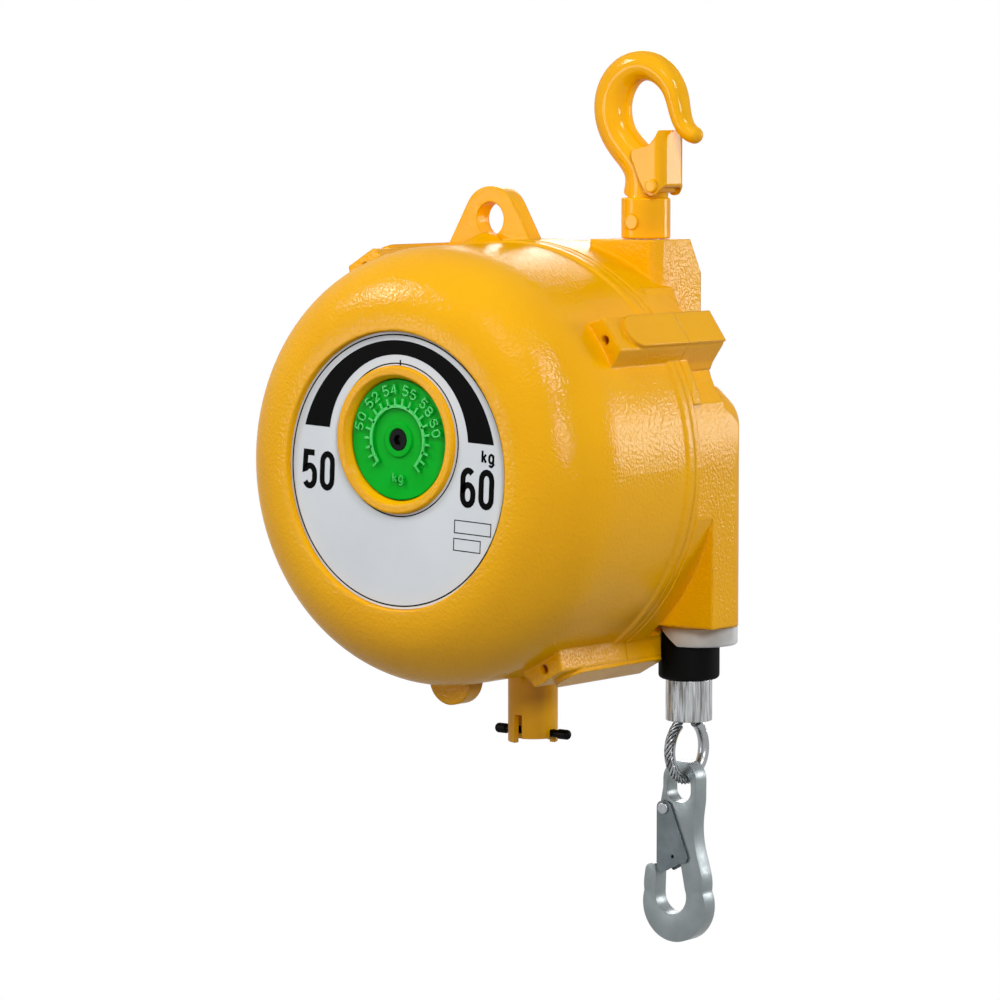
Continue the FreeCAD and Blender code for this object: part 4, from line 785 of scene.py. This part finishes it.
def core_mesh(line):
    build = bmesh.new()
    rings = []
    for point, way in zip(line, tangents(line)):
        up = way.cross(sideways)
        section = []
        for k in range(core_sides):
            angle = 2 * math.pi * k / core_sides
            out = sideways * math.cos(angle) + up * math.sin(angle)
            section.append(build.verts.new((point + out * core_radius) * MM))
        rings.append(section)
    sweep(build, rings)
    return mesh_from(build, "core")


print("strand helper ready")

# %% Straight run, stretched as the hook goes down
run_low, run_high = (corner[2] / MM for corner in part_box("rope_run"))
run_steps, run_sides = 170, 14
run_line = [Vector((rope_x, rope_y, run_high + (run_low - run_high) * i / run_steps))
            for i in range(run_steps + 1)]
run_piece = bpy.data.objects.new("rope_run_strands", strand_mesh(run_line, run_sides))
run_core = bpy.data.objects.new("rope_run_core", core_mesh(run_line))
for piece in (run_piece, run_core):
    bpy.context.scene.collection.objects.link(piece)
    piece.data.materials.append(rope_steel.material)
    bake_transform(piece)
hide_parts("rope_run")
print("rope run", round(run_high - run_low, 1), "mm")

# %% [markdown]
# The loop hangs from the ferrule like a drop: two straight legs that run into a circle. One leg
# is drawn from inside the ferrule to the knee where the circle starts, then the circle, and then
# the same leg again, mirrored.

# %% Loop through the snap hook
leg_steps, bend_steps, loop_sides = 14, 130, 21
loop_centre = ferrule_low - loop_drop
span = math.hypot(loop_leg, loop_drop)
lean = math.atan2(loop_drop, loop_leg) - math.acos(loop_radius / span)


def on_loop(angle):
    return Vector((rope_x, loop_y + loop_radius * math.cos(angle),
                   loop_centre + loop_radius * math.sin(angle)))


knee = Vector((rope_x, loop_y - loop_radius * math.cos(lean),
               loop_centre + loop_radius * math.sin(lean)))
mouth = Vector((rope_x, loop_y - loop_leg, ferrule_low))
down = (knee - mouth).normalized()
leg_length = (knee - mouth).length + leg_grip
leg_points = [mouth - down * leg_grip + down * leg_length * i / leg_steps
              for i in range(leg_steps)]
bend_points = [on_loop(math.pi - lean + (math.pi + 2 * lean) * i / bend_steps)
               for i in range(bend_steps + 1)]
far_leg = [Vector((p.x, 2 * loop_y - p.y, p.z)) for p in reversed(leg_points)]
loop_line = leg_points + bend_points + far_leg
loop_strands = strand_mesh(loop_line, loop_sides)
loop_piece = new_piece("rope_loop_strands", loop_strands, rope_steel, "rope_end")
new_piece("rope_loop_core", core_mesh(loop_line), rope_steel, "rope_end")
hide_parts("rope_eye")
print("loop has", len(loop_line), "stations")

# %% [markdown]
# ## Snap hook
# The hook is forged flat and tumbled before plating, so its edges are round and catch the light.
# The solid has the right outline with sharp edges. A copy of its mesh is cleaned of the flat
# faces' triangles, and a bevel along its outline edges gives the rounded forging.

# %% A copy of the hook with rounded edges
weld_distance = 1e-6
flat_angle, edge_angle, crease_angle = (math.radians(a) for a in (1.0, 40, 35))
edge_width = 0.6
edge_segments = 3
hook_mesh = part["lower_hook"].data.copy()
build = bmesh.new()
build.from_mesh(hook_mesh)
bmesh.ops.remove_doubles(build, verts=build.verts, dist=weld_distance)
bmesh.ops.dissolve_limit(build, angle_limit=flat_angle, verts=build.verts, edges=build.edges)
sharp = [e for e in build.edges if len(e.link_faces) == 2 and e.calc_face_angle() > edge_angle]
bmesh.ops.bevel(build, geom=sharp, offset=edge_width * MM, segments=edge_segments, profile=0.5,
                affect="EDGES", clamp_overlap=True)
bmesh.ops.triangulate(build, faces=[f for f in build.faces if len(f.verts) > 4])
build.to_mesh(hook_mesh)
build.free()
hook_piece = new_piece("snap_hook", hook_mesh, hook_zinc, "load_hook")
hook_mesh.shade_smooth()
hook_mesh.set_sharp_from_angle(angle=crease_angle)
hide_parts("lower_hook")
print(len(sharp), "sharp edges rounded on the snap hook")
